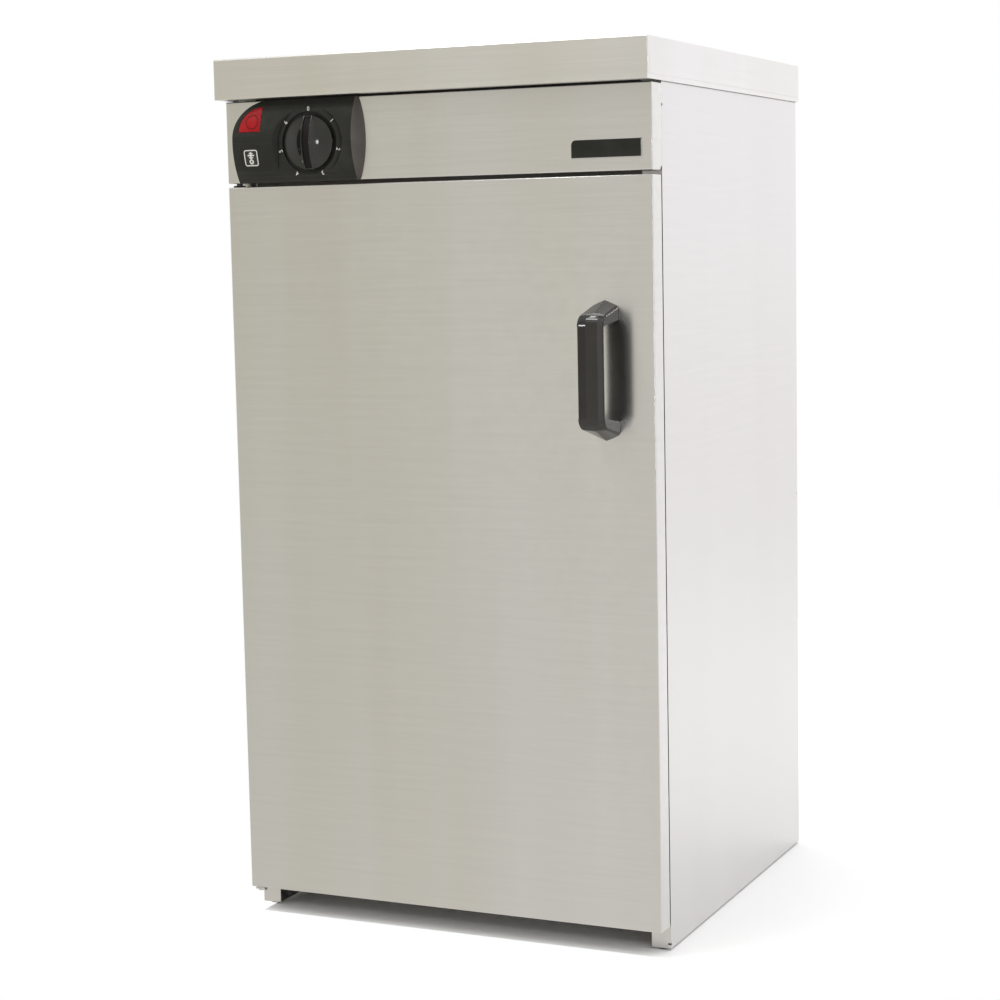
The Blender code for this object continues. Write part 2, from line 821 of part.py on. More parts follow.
def make_shelves():
    """Each shelf is a wire frame with rungs from side to side on top of it."""
    front, back = SHELF_FRONT_Y + SHELF_WIRE_R, SHELF_FRONT_Y + SHELF_D - SHELF_WIRE_R
    start, end = SHELF_FRONT_Y, SHELF_FRONT_Y + SHELF_D
    for level in range(SHELF_LEVELS):
        z = shelf_z(level)
        bars = [
            ((x, start, z), (x, end, z), SHELF_WIRE_R) for x in (-SHELF_SIDE_X, SHELF_SIDE_X)
        ]
        rung_z = z + SHELF_WIRE_R
        for index in range(SHELF_RUNGS):
            y = front + (back - front) * index / (SHELF_RUNGS - 1)
            radius = SHELF_WIRE_R if index in (0, SHELF_RUNGS - 1) else SHELF_RUNG_R
            bars.append(((-SHELF_SIDE_X, y, rung_z), (SHELF_SIDE_X, y, rung_z), radius))
        wire_union(("shelf_lower", "shelf_middle", "shelf_upper")[level], bars, CHROME)


def make_racks():
    """Wire racks on the chamber's walls: two posts a side, and a runner under each shelf."""
    wall = LINER_HALF_W - LINER_T - FIT
    post_x = wall - RACK_POST_R
    runner_x = post_x - RACK_POST_R - SHELF_WIRE_R + FIT * 2
    low = LINER_BOTTOM + LINER_T + GUARD_H + 2 * FIT
    high = LINER_TOP - LINER_T - RACK_END
    front, back = SHELF_FRONT_Y, SHELF_FRONT_Y + SHELF_D
    inset = SHELF_D * RACK_POST_IN_SHARE
    for name, side in (("left_shelf_rack", -1), ("right_shelf_rack", 1)):
        x = side * post_x
        bars = [((x, y, low), (x, y, high), RACK_POST_R) for y in (front + inset, back - inset)]
        x = side * runner_x
        for level in range(SHELF_LEVELS):
            z = shelf_z(level) - 2 * SHELF_WIRE_R - FIT
            bars.append(((x, front, z), (x, back, z), SHELF_WIRE_R))
        wire_union(name, bars, CHROME)


def make_fascia():
    fascia = pan(
        "fascia_panel",
        (-HALF_W, DOOR_FACE_Y, FASCIA_Z),
        (HALF_W, BODY_FACE_Y - FIT, FASCIA_TOP),
        (0, 1, 0),
        DOOR_SKIN,
        STEEL,
    )
    hole = round_bar(
        "fascia_spindle_hole",
        (KNOB_X, DOOR_FACE_Y - OVERRUN, KNOB_Z),
        (KNOB_X, DOOR_FACE_Y + DOOR_SKIN + OVERRUN, KNOB_Z),
        SPINDLE_R + FIT,
    )
    pin_hole = round_bar(
        "fascia_pin_hole",
        PIVOT + Vector((0, 0, FASCIA_Z - OVERRUN)),
        PIVOT + Vector((0, 0, FASCIA_Z + DOOR_SKIN + OVERRUN)),
        PIN_R + FIT,
    )
    lamp_x, lamp_z = lamp_place()
    lamp_hole = round_bar(
        "fascia_lamp_hole",
        (lamp_x, DOOR_FACE_Y - OVERRUN, lamp_z),
        (lamp_x, DOOR_FACE_Y + DOOR_SKIN + OVERRUN, lamp_z),
        LAMP_R + FIT,
    )
    cut(fascia, hole, pin_hole, lamp_hole)
    right = HALF_W - BADGE_FROM_RIGHT
    low = FASCIA_Z + BADGE_ABOVE_FASCIA
    block(
        "badge_plate",
        (right - BADGE_W, DOOR_FACE_Y - FIT - BADGE_T, low),
        (right, DOOR_FACE_Y - FIT, low + BADGE_H),
        BLACK_PLASTIC,
    )


def lamp_place():
    """The pilot lamp sits behind the middle of the red lens."""
    reach = LENS_R * LAMP_IN_SHARE
    return HOUSING_X + LENS_FROM_LEFT - reach, HOUSING_Z + LENS_ABOVE_MIDDLE + reach


def make_lamp():
    x, z = lamp_place()
    inside = DOOR_FACE_Y + DOOR_SKIN + FIT
    tip, tail = (x, DOOR_FACE_Y - LAMP_FRONT_D, z), (x, inside + LAMP_L, z)
    lamp = round_bar("pilot_lamp", tip, tail, LAMP_R, PALE_PLASTIC)
    flange = round_bar("lamp_flange", (x, inside, z), (x, inside + LAMP_FLANGE_T, z), LAMP_FLANGE_R)
    join(lamp, flange)


def crown_depth(z, half_height, edge, sag):
    """Depth of a crowned moulding in front of the fascia, at a height from its middle."""
    radius = (half_height**2 + sag**2) / (2 * sag)
    return edge + sag - radius + math.sqrt(radius**2 - z**2)


def crowned_body(name, left, right, inset, material=None):
    """A moulding with a crowned front; its right end slopes from the rim to the fascia."""
    half = HOUSING_HALF_H - inset
    back = HOUSING_BACK_Y + (OVERRUN if inset else 0)
    heights = [half - 2 * half * step / CROWN_STEPS for step in range(CROWN_STEPS + 1)]
    depths = [crown_depth(z, HOUSING_HALF_H, HOUSING_EDGE_D, HOUSING_SAG) - inset for z in heights]
    bm = bmesh.new()

    def ring(x, slope):
        front = [
            bm.verts.new((x, HOUSING_BACK_Y - depth, HOUSING_Z + z))
            for z, depth in zip(heights, depths)
        ]
        rear = [
            bm.verts.new((x + slope * depth, back, HOUSING_Z + z))
            for z, depth in zip(heights, depths)
        ]
        return front, rear

    front_a, rear_a = ring(left, 0)
    front_b, rear_b = ring(right, HOUSING_END_SLOPE_SHARE)
    for step in range(CROWN_STEPS):
        bm.faces.new((front_a[step], front_a[step + 1], front_b[step + 1], front_b[step]))
        bm.faces.new((rear_a[step], rear_b[step], rear_b[step + 1], rear_a[step + 1]))
        bm.faces.new((front_a[step], rear_a[step], rear_a[step + 1], front_a[step + 1]))
        bm.faces.new((front_b[step], front_b[step + 1], rear_b[step + 1], rear_b[step]))
    for end in (0, CROWN_STEPS):
        bm.faces.new((front_a[end], front_b[end], rear_b[end], rear_a[end]))
    return new_object(name, mesh_from(bm, name), material)


def housing_outline(inset):
    """The moulding's front outline: its upper left corner is rounded, the rest runs past its ends."""
    left, right = HOUSING_X + inset, HOUSING_X + HOUSING_W + FASCIA_H
    low, high = HOUSING_Z - HOUSING_HALF_H + inset, HOUSING_Z + HOUSING_HALF_H - inset
    radius = HOUSING_CORNER_R - inset
    corner = arc((left + radius, high - radius), radius, 90, 180, ROUND_SIDES // 3)
    foot = low if inset else low - OVERRUN
    return [(right, high), *corner, (left, foot), (right, foot)]


def quarter_outline(gap):
    """The lens's outline: a quarter round with its square corner at the lower right."""
    x, z = HOUSING_X + LENS_FROM_LEFT - gap, HOUSING_Z + LENS_ABOVE_MIDDLE + gap
    return [(x, z), *arc((x, z), LENS_R - 2 * gap, 90, 180, ROUND_SIDES // 2)]


def make_housing():
    """Black moulding with the pilot lens's window and the dial's well."""
    right = HOUSING_X + HOUSING_W
    front_y = HOUSING_BACK_Y - HOUSING_SAG - HOUSING_EDGE_D - OVERRUN
    housing = crowned_body("control_housing", HOUSING_X, right, 0, BLACK_PLASTIC)
    boolean(
        housing,
        outline_prism("housing_outline", housing_outline(0), front_y, HOUSING_BACK_Y + OVERRUN),
        "INTERSECT",
    )
    hollow = crowned_body("housing_hollow", HOUSING_X + HOUSING_WALL, right - HOUSING_WALL, HOUSING_WALL)
    boolean(
        hollow,
        outline_prism("hollow_outline", housing_outline(HOUSING_WALL), front_y, HOUSING_BACK_Y + 2 * OVERRUN),
        "INTERSECT",
    )
    wide = DIAL_R + DIAL_D * WELL_SLOPE_SHARE
    cut(hollow, dial_solid("dial_keep", wide, OVERRUN, HOUSING_SAG + HOUSING_EDGE_D))
    cut(housing, hollow)
    join(housing, dial_solid("dial_boss", DIAL_R - FIT, -FIT, DIAL_D + FIT))
    cut(housing, *well_cutters())
    spindle_hole = round_bar(
        "housing_spindle_hole",
        (KNOB_X, HOUSING_BACK_Y - DIAL_D - OVERRUN, KNOB_Z),
        (KNOB_X, HOUSING_BACK_Y + OVERRUN, KNOB_Z),
        SPINDLE_R + FIT,
    )
    window = outline_prism("lens_window", quarter_outline(0), front_y, HOUSING_BACK_Y + OVERRUN)
    cut(housing, spindle_hole, window)
    lens = crowned_body("pilot_lens", HOUSING_X, right, 0, RED_LENS)
    boolean(
        lens,
        outline_prism("lens_outline", quarter_outline(FIT), front_y, HOUSING_BACK_Y + 2 * OVERRUN),
        "INTERSECT",
    )
    lens_back = crowned_body("lens_back", HOUSING_X - OVERRUN, right, HOUSING_WALL)
    cut(lens, lens_back)


def dial_solid(name, radius, back_over, depth):
    """The dial is round, with its lower left corner squared off down to the moulding's edge."""
    back, front = HOUSING_BACK_Y + back_over, HOUSING_BACK_Y - depth
    low = HOUSING_Z - HOUSING_HALF_H + FIT
    ring = arc((KNOB_X, KNOB_Z), radius, -90, 180, 3 * ROUND_SIDES // 2)
    above = [(x, z) for x, z in ring if z > low + FIT]
    return outline_prism(name, [(KNOB_X, low), *above, (KNOB_X - radius, low)], front, back)


def well_cutters():
    """The well's wall slopes outwards from the dial's edge."""
    start, end = HOUSING_BACK_Y - DIAL_D, HOUSING_BACK_Y - 2 * DIAL_D
    wide = DIAL_R + DIAL_D * WELL_SLOPE_SHARE
    low = HOUSING_Z - HOUSING_HALF_H - OVERRUN
    cone = round_bar(
        "dial_well",
        (KNOB_X, start, KNOB_Z),
        (KNOB_X, end, KNOB_Z),
        DIAL_R,
        end_radius=wide,
        sides=2 * ROUND_SIDES,
    )
    corner = outline_prism(
        "dial_well_corner",
        [(KNOB_X, start), (KNOB_X - DIAL_R, start), (KNOB_X - wide, end), (KNOB_X, end)],
        low,
        KNOB_Z,
        axis="Z",
    )
    return cone, corner


def make_knob():
    """Round knob: a dished skirt and an arched grip bar, on the thermostat's spindle."""
    back = HOUSING_BACK_Y - DIAL_D - FIT
    rim = back - KNOB_RIM_T
    knob = round_bar(
        "control_knob",
        (KNOB_X, back, KNOB_Z),
        (KNOB_X, rim, KNOB_Z),
        KNOB_R,
        BLACK_GLOSS,
        sides=2 * ROUND_SIDES,
    )
    dish = round_bar(
        "knob_dish",
        (KNOB_X, rim + KNOB_DISH, KNOB_Z),
        (KNOB_X, rim - OVERRUN, KNOB_Z),
        KNOB_R / 2,
        end_radius=KNOB_R,
        sides=2 * ROUND_SIDES,
    )
    cut(knob, dish)
    crest = DOOR_FACE_Y - KNOB_CREST_D
    rise = back - crest - KNOB_DISH / 2
    radius = (KNOB_R**2 + rise**2) / (2 * rise)
    half = math.degrees(math.asin(KNOB_R / radius)) * (1 - FIT / KNOB_R)
    bow = arc((0, KNOB_Z), radius, -half, half, ROUND_SIDES // 2)
    arch = [(crest + radius - reach, z) for reach, z in bow]
    outline = [(back - FIT, arch[-1][1]), (back - FIT, arch[0][1]), *arch]
    bar = outline_prism("knob_bar", outline, KNOB_X - KNOB_BAR_W / 2, KNOB_X + KNOB_BAR_W / 2, axis="X")
    join(knob, bar)
    bore = round_bar(
        "knob_bore",
        (KNOB_X, back + OVERRUN, KNOB_Z),
        (KNOB_X, back - SPINDLE_IN_KNOB - FIT, KNOB_Z),
        SPINDLE_R + FIT,
    )
    cut(knob, bore)
    round_bar(
        "thermostat_spindle",
        (KNOB_X, back - SPINDLE_IN_KNOB, KNOB_Z),
        (KNOB_X, DOOR_FACE_Y + DOOR_SKIN + SPINDLE_IN_BODY, KNOB_Z),
        SPINDLE_R,
        SCREW_STEEL,
    )


def thermostat_back():
    return DOOR_FACE_Y + DOOR_SKIN + FIT + THERMOSTAT_D


def capillary_y():
    return BODY_FACE_Y + RAIL_D + CAPILLARY_BACK


def make_thermostat():
    """Bulb-and-capillary thermostat behind the fascia, its bulb clipped under the chamber's roof."""
    half = THERMOSTAT_W / 2
    front = DOOR_FACE_Y + DOOR_SKIN + FIT
    body = block(
        "thermostat_body",
        (KNOB_X - half, front, KNOB_Z - half + CAPILLARY_BEND_R),
        (KNOB_X + half, thermostat_back(), KNOB_Z + half),
        PALE_PLASTIC,
    )
    bore = round_bar(
        "thermostat_bore",
        (KNOB_X, front - OVERRUN, KNOB_Z),
        (KNOB_X, front + SPINDLE_IN_BODY + FIT, KNOB_Z),
        SPINDLE_R + FIT,
    )
    cut(body, bore)
    y = capillary_y()
    bulb_z = LINER_TOP - LINER_T - BULB_BELOW_ROOF
    route = [
        (KNOB_X, thermostat_back() + FIT, KNOB_Z),
        (KNOB_X, y, KNOB_Z),
        (KNOB_X, y, bulb_z),
        (KNOB_X, y + CAPILLARY_BACK, bulb_z),
    ]
    tube("capillary_tube", rounded_route(route, CAPILLARY_BEND_R), CAPILLARY_R, COPPER, resolution=1)
    start = y + CAPILLARY_BACK + FIT
    round_bar("sensor_bulb", (KNOB_X, start, bulb_z), (KNOB_X, start + BULB_L, bulb_z), BULB_R, COPPER)
    middle = start + BULB_L / 2
    roof = LINER_TOP - LINER_T - FIT
    clip = block(
        "bulb_clip",
        (KNOB_X - BULB_R - FIT - CLIP_T, middle - CLIP_W / 2, bulb_z - BULB_R - FIT - CLIP_T),
        (KNOB_X + BULB_R + FIT + CLIP_T, middle + CLIP_W / 2, roof),
        STEEL,
    )
    channel = block(
        "clip_channel",
        (KNOB_X - BULB_R - FIT, middle - CLIP_W, bulb_z - BULB_R - FIT),
        (KNOB_X + BULB_R + FIT, middle + CLIP_W, roof - CLIP_T),
    )
    cut(clip, channel)


def make_door():
    """Door: folded outer pan, flat inner panel, insulation and gasket."""
    outer = pan(
        "door_outer_panel",
        (-HALF_W, DOOR_FACE_Y, DOOR_BOTTOM),
        (HALF_W, DOOR_FACE_Y + DOOR_D, DOOR_TOP),
        (0, 1, 0),
        DOOR_SKIN,
        STEEL,
        flange=DOOR_FLANGE,
    )
    rear = DOOR_FACE_Y + DOOR_D
    border = GASKET_OUT + GASKET_W
    gasket_low = Vector((-LINER_HALF_W - border, rear + FIT, LINER_BOTTOM - border))
    gasket_high = Vector((LINER_HALF_W + border, rear + FIT + GASKET_T, LINER_TOP + border))
    gasket = block("door_gasket", gasket_low, gasket_high, RUBBER)
    ring = Vector((GASKET_W, -OVERRUN, GASKET_W))
    cut(gasket, block("gasket_window", gasket_low + ring, gasket_high - ring))
    clear = Vector((GASKET_W + FIT, 0, GASKET_W + FIT))
    inner_low, inner_high = gasket_low + clear, gasket_high - clear
    inner_high.y = rear + FIT + INNER_PANEL_T
    block("door_inner_panel", inner_low, inner_high, LINER_STEEL)
    edge = DOOR_FLANGE - GASKET_OUT
    wool = block(
        "door_insulation",
        (-HALF_W + edge, DOOR_FACE_Y + DOOR_SKIN + FIT, DOOR_BOTTOM + edge),
        (HALF_W - edge, rear - DOOR_SKIN - FIT, DOOR_TOP - edge),
        WOOL,
    )
    make_handle_screws(outer, wool)
    make_bushes(outer)
    low, high = catch_box()
    block(
        "catch_striker",
        (low.x, rear + FIT, low.z),
        (low.x + CATCH_W, rear + FIT + STRIKER_T, low.z + CATCH_H),
        SCREW_STEEL,
    )


def catch_box():
    """The magnetic catch sits in the middle rail, above the gasket."""
    right = HALF_W - CATCH_FROM_RIGHT
    low = Vector((right - CATCH_W, BODY_FACE_Y, LINER_TOP + GASKET_OUT + GASKET_W + 3 * FIT))
    return low, low + Vector((CATCH_W, CATCH_D, CATCH_H))


def make_catch():
    low, high = catch_box()
    block("catch_magnet", low, high, BLACK_PLASTIC)


def handle_profile(inset):
    """Side view of the handle, as y and z; inset draws its outer line in for the chamfered edges."""
    base = DOOR_FACE_Y - FIT
    front = DOOR_FACE_Y - HANDLE_REACH + inset
    inner = DOOR_FACE_Y - HANDLE_REACH + HANDLE_BAR_T
    shoulder = (HANDLE_BAR_H - HANDLE_GRIP_FLARE) / 2
    outer = [
        (base, HANDLE_H / 2 - inset),
        (front + HANDLE_GRIP_FLARE, (HANDLE_BAR_H + HANDLE_GRIP_FLARE) / 2 - inset),
        (front, shoulder - inset),
    ]
    grip = [(base, HANDLE_GRIP_H / 2 + HANDLE_GRIP_FLARE), (inner, HANDLE_GRIP_H / 2)]
    mirrored = [(y, -z) for y, z in outer[::-1] + grip]
    return [(y, HANDLE_Z + z) for y, z in outer + mirrored + grip[::-1]]


def make_handle():
    """Bow handle: a chamfered bar on two flared legs, lofted across its width."""
    half, flat = HANDLE_W / 2, HANDLE_FLAT_W / 2
    bm = bmesh.new()
    rings = []
    for x, inset in ((-half, HANDLE_CHAMFER), (-flat, 0), (flat, 0), (half, HANDLE_CHAMFER)):
        rings.append([bm.verts.new((HANDLE_X + x, y, z)) for y, z in handle_profile(inset)])
    for ring_a, ring_b in zip(rings, rings[1:]):
        for index in range(len(ring_a)):
            bm.faces.new((ring_a[index - 1], ring_a[index], ring_b[index], ring_b[index - 1]))
    for ring in (rings[0], rings[-1]):
        bm.faces.new(ring)
    handle = new_object("door_handle", mesh_from(bm, "door_handle"), BLACK_GLOSS)
    for name, z in handle_screw_levels():
        hole = round_bar(
            "handle_bore_" + name,
            (HANDLE_X, DOOR_FACE_Y + OVERRUN, z),
            (HANDLE_X, DOOR_FACE_Y - HANDLE_SCREW_DEPTH - FIT, z),
            HANDLE_SCREW_R + FIT,
        )
        cut(handle, hole)


def handle_screw_levels():
    reach = (HANDLE_H + HANDLE_GRIP_H) / 4
    return ("upper", HANDLE_Z + reach), ("lower", HANDLE_Z - reach)


def make_handle_screws(outer, wool):
    inside = DOOR_FACE_Y + DOOR_SKIN + FIT
    for name, z in handle_screw_levels():
        hole = round_bar(
            "skin_hole_" + name,
            (HANDLE_X, DOOR_FACE_Y - OVERRUN, z),
            (HANDLE_X, inside + OVERRUN, z),
            HANDLE_SCREW_R + FIT,
        )
        pocket = round_bar(
            "wool_pocket_" + name,
            (HANDLE_X, DOOR_FACE_Y, z),
            (HANDLE_X, inside + HANDLE_SCREW_HEAD_T + FIT, z),
            HANDLE_SCREW_HEAD_R + FIT,
        )
        cut(outer, hole)
        cut(wool, pocket)
        screw = round_bar(
            "handle_screw_" + name,
            (HANDLE_X, DOOR_FACE_Y - HANDLE_SCREW_DEPTH, z),
            (HANDLE_X, inside + HANDLE_SCREW_HEAD_T / 2, z),
            HANDLE_SCREW_R,
            SCREW_STEEL,
        )
        head = round_bar(
            screw.name + "_head",
            (HANDLE_X, inside, z),
            (HANDLE_X, inside + HANDLE_SCREW_HEAD_T, z),
            HANDLE_SCREW_HEAD_R,
        )
        join(screw, head)


def hinge_levels():
    """Name, height of the bracket's plate's door side, and the way from there to the door."""
    yield "top", DOOR_TOP + FASCIA_GAP + DOOR_SKIN + FIT, -1
    yield "bottom", DOOR_BOTTOM - BUSH_FLANGE_T - 2 * FIT, 1


def make_hinges():
    """Each bracket holds a pin that turns in a bush in the door's edge."""
    half = PIVOT_IN - SHEET - FIT
    for name, level, way in hinge_levels():
        far = level - way * BRACKET_T
        plate = block(
            "hinge_bracket_" + name,
            (PIVOT.x - half, PIVOT.y - half, min(level, far)),
            (PIVOT.x + half, BODY_FACE_Y + SHEET + FIT + BRACKET_T, max(level, far)),
            STEEL,
        )
        tip = level - way * BRACKET_DROP
        leg = block(
            plate.name + "_leg",
            (PIVOT.x - half, BODY_FACE_Y + SHEET + FIT, min(level, tip)),
            (PIVOT.x + half, BODY_FACE_Y + SHEET + FIT + BRACKET_T, max(level, tip)),
        )
        hole = round_bar(
            plate.name + "_hole",
            PIVOT + Vector((0, 0, level + way * OVERRUN)),
            PIVOT + Vector((0, 0, far - way * OVERRUN)),
            PIN_R + FIT,
        )
        join(plate, leg)
        cut(plate, hole)
        edge = DOOR_TOP if way < 0 else DOOR_BOTTOM
        pin = round_bar(
            "hinge_pin_" + name,
            PIVOT + Vector((0, 0, far - way * (FIT + PIN_HEAD_T / 2))),
            PIVOT + Vector((0, 0, edge + way * PIN_REACH)),
            PIN_R,
            SCREW_STEEL,
        )
        head = round_bar(
            pin.name + "_head",
            PIVOT + Vector((0, 0, far - way * FIT)),
            PIVOT + Vector((0, 0, far - way * (FIT + PIN_HEAD_T))),
            PIN_HEAD_R,
        )
        join(pin, head)


def bracket_slots(panel):
    """The brackets pass through slots in the left leg's return."""
    half = PIVOT_IN - SHEET - FIT
    for name, level, way in hinge_levels():
        far = level - way * BRACKET_T
        slot = block(
            "bracket_slot_" + name,
            (PIVOT.x - half - FIT, BODY_FACE_Y - OVERRUN, min(level, far) - FIT),
            (PIVOT.x + half + FIT, BODY_FACE_Y + SHEET + FIT, max(level, far) + FIT),
        )
        cut(panel, slot)


def make_bushes(outer):
    for name, level, way in hinge_levels():
        edge = DOOR_TOP if way < 0 else DOOR_BOTTOM
        hole = round_bar(
            "door_edge_hole_" + name,
            PIVOT + Vector((0, 0, edge - way * OVERRUN)),
            PIVOT + Vector((0, 0, edge + way * (DOOR_SKIN + OVERRUN))),
            BUSH_R + FIT,
        )
        cut(outer, hole)
        bush = round_bar(
            "hinge_bush_" + name,
            PIVOT + Vector((0, 0, edge - way * (FIT + BUSH_FLANGE_T / 2))),
            PIVOT + Vector((0, 0, edge + way * (PIN_REACH + PIN_HEAD_T))),
            BUSH_R,
            NYLON,
        )
        flange = round_bar(
            bush.name + "_flange",
            PIVOT + Vector((0, 0, edge - way * FIT)),
            PIVOT + Vector((0, 0, edge - way * (FIT + BUSH_FLANGE_T))),
            BUSH_FLANGE_R,
        )
        bore = round_bar(
            bush.name + "_bore",
            PIVOT + Vector((0, 0, edge - way * (BUSH_FLANGE_T + OVERRUN))),
            PIVOT + Vector((0, 0, edge + way * (PIN_REACH + FIT))),
            PIN_R + FIT,
        )
        join(bush, flange)
        cut(bush, bore)


clear_scene()
PARTS = new_collection("plate_warmer_cabinet")
CUTTERS = new_collection("cutters")
STEEL = new_material("brushed_steel", (0.56, 0.54, 0.50), 0.34, 1.0)
PALE_STEEL = new_material("brushed_steel_side", (0.66, 0.65, 0.63), 0.34, 1.0)
LINER_STEEL = new_material("liner_steel", (0.60, 0.60, 0.58), 0.28, 1.0)
SCREW_STEEL = new_material("zinc_steel", (0.55, 0.55, 0.54), 0.35, 1.0)
CHROME = new_material("chrome_wire", (0.75, 0.75, 0.75), 0.15, 1.0)
INCOLOY = new_material("element_sheath", (0.17, 0.17, 0.15), 0.5, 0.8)
COPPER = new_material("copper", (0.65, 0.36, 0.24), 0.3, 1.0)
BLACK_PLASTIC = new_material("black_plastic", (0.03, 0.03, 0.028), 0.4, 0.0)
BLACK_GLOSS = new_material("black_gloss_plastic", (0.02, 0.02, 0.02), 0.12, 0.0)
PALE_PLASTIC = new_material("pale_plastic", (0.75, 0.73, 0.66), 0.5, 0.0)
NYLON = new_material("nylon", (0.08, 0.08, 0.08), 0.5, 0.0)
RUBBER = new_material("gasket_rubber", (0.06, 0.05, 0.045), 0.7, 0.0)
WOOL = new_material("mineral_wool", (0.45, 0.40, 0.26), 0.95, 0.0)
RED_LENS = new_material("red_lens", (0.45, 0.02, 0.02), 0.15, 0.0)

make_worktop()
make_side_panels()
make_glides()
make_back()
make_base()
make_rails()
make_chamber()
make_element()
make_racks()
make_shelves()
make_fascia()
make_lamp()
make_housing()
make_knob()
make_thermostat()
make_door()
make_catch()
make_handle()
make_hinges()
make_pivots()
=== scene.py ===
import json
import math

import bmesh
import bpy
from mathutils import Matrix, Vector

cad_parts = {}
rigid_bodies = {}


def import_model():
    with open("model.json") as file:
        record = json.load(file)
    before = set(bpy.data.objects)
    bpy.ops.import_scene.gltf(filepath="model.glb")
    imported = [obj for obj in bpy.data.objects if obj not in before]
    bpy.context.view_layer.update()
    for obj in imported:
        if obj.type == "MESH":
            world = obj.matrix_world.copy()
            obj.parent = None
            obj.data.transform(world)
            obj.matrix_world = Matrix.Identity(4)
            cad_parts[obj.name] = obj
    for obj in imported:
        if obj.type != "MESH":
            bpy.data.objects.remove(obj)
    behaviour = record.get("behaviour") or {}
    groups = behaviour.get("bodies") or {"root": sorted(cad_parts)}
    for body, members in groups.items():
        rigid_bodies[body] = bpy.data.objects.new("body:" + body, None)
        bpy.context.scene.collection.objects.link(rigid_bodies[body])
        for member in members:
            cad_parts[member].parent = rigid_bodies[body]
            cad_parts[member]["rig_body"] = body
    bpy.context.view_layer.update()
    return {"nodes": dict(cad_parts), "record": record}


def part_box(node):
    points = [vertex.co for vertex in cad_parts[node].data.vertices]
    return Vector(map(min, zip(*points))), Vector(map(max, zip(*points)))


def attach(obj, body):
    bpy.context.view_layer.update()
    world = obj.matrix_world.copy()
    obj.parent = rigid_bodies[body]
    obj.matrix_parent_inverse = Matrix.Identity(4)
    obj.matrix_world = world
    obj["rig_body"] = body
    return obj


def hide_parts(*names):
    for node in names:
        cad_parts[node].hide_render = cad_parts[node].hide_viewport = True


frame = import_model()
nodes = frame["nodes"]
mm = 0.001
print("frame loaded, CAD nodes:", len(nodes))


# small helpers for working in object and edit mode


def clearSelection():
    if bpy.context.object and bpy.context.object.mode != "OBJECT":
        bpy.ops.object.mode_set(mode="OBJECT")
    bpy.ops.object.select_all(action="DESELECT")


def makeActive(item):
    clearSelection()
    item.select_set(True)
    bpy.context.view_layer.objects.active = item


def settle(item):
    # place, turn and size go into the mesh, so patterns follow the object's own frame
    makeActive(item)
    bpy.ops.object.transform_apply(location=True, rotation=True, scale=True)


def nameIt(item, name):
    item.name = name
    item.data.name = name
    return item


def addBlock(name, low, high):
    clearSelection()
    low, high = Vector(low), Vector(high)
    bpy.ops.mesh.primitive_cube_add(size=1, location=(low + high) / 2, scale=high - low)
    item = nameIt(bpy.context.object, name)
    settle(item)
    return item


def addRod(name, start, end, radius, sides):
    clearSelection()
    start, end = Vector(start), Vector(end)
    span = end - start
    turn = span.to_track_quat("Z", "Y").to_euler()
    bpy.ops.mesh.primitive_cylinder_add(
        vertices=sides, radius=radius, depth=span.length, location=(start + end) / 2, rotation=turn
    )
    item = nameIt(bpy.context.object, name)
    settle(item)
    return item


def startEdit(item, kind):
    makeActive(item)
    bpy.ops.object.mode_set(mode="EDIT")
    bpy.ops.mesh.select_mode(type=kind)
    bpy.ops.mesh.select_all(action="DESELECT")


def endEdit():
    bpy.ops.object.mode_set(mode="OBJECT")


def pickFaces(item, test):
    mesh = bmesh.from_edit_mesh(item.data)
    for face in mesh.faces:
        face.select_set(bool(test(face.calc_center_median(), face.normal)))
    mesh.select_flush_mode()
    bmesh.update_edit_mesh(item.data)


def pickEdges(item, test):
    mesh = bmesh.from_edit_mesh(item.data)
    for edge in mesh.edges:
        start, end = (corner.co for corner in edge.verts)
        edge.select_set(bool(test((start + end) / 2, (end - start).normalized())))
    mesh.select_flush_mode()
    bmesh.update_edit_mesh(item.data)


def pickCorners(item, test):
    mesh = bmesh.from_edit_mesh(item.data)
    for corner in mesh.verts:
        corner.select_set(bool(test(corner.co)))
    mesh.select_flush_mode()
    bmesh.update_edit_mesh(item.data)


def bevelPicked(width, segments):
    bpy.ops.mesh.bevel(offset=width, segments=segments, affect="EDGES", offset_type="OFFSET")


def extrudeBy(x, y, z):
    bpy.ops.mesh.extrude_region_move(TRANSFORM_OT_translate={"value": (x, y, z)})


def cutThrough(point, normal, **settings):
    # a plane cuts the whole mesh
    bpy.ops.mesh.select_all(action="SELECT")
    bpy.ops.mesh.bisect(plane_co=point, plane_no=normal, **settings)


def applyModifier(item, name, kind, **settings):
    makeActive(item)
    change = item.modifiers.new(name, kind)
    for key, value in settings.items():
        setattr(change, key, value)
    bpy.ops.object.modifier_apply(modifier=change.name)


def roundEdges(item, width, segments=2, angle=35):
    applyModifier(
        item,
        "rounded",
        "BEVEL",
        width=width,
        segments=segments,
        limit_method="ANGLE",
        angle_limit=math.radians(angle),
        harden_normals=False,
    )


def combine(item, other, operation):
    # the other piece is used up
    applyModifier(item, "combined", "BOOLEAN", operation=operation, solver="EXACT", object=other)
    bpy.data.objects.remove(other, do_unlink=True)


def cutAway(item, *cutters):
    for cutter in cutters:
        combine(item, cutter, "DIFFERENCE")


def joinTo(item, *others):
    clearSelection()
    for other in others:
        other.select_set(True)
    item.select_set(True)
    bpy.context.view_layer.objects.active = item
    bpy.ops.object.join()
    return item


def clearNormals(item):
    makeActive(item)
    bpy.ops.mesh.customdata_custom_splitnormals_clear()


def smooth(item, angle=35, sheet=False):
    makeActive(item)
    bpy.ops.object.shade_smooth_by_angle(angle=math.radians(angle))
    if sheet:
        # large flat faces keep a flat shading beside narrow bends
        applyModifier(item, "flatFaces", "WEIGHTED_NORMAL", keep_sharp=True, weight=100)


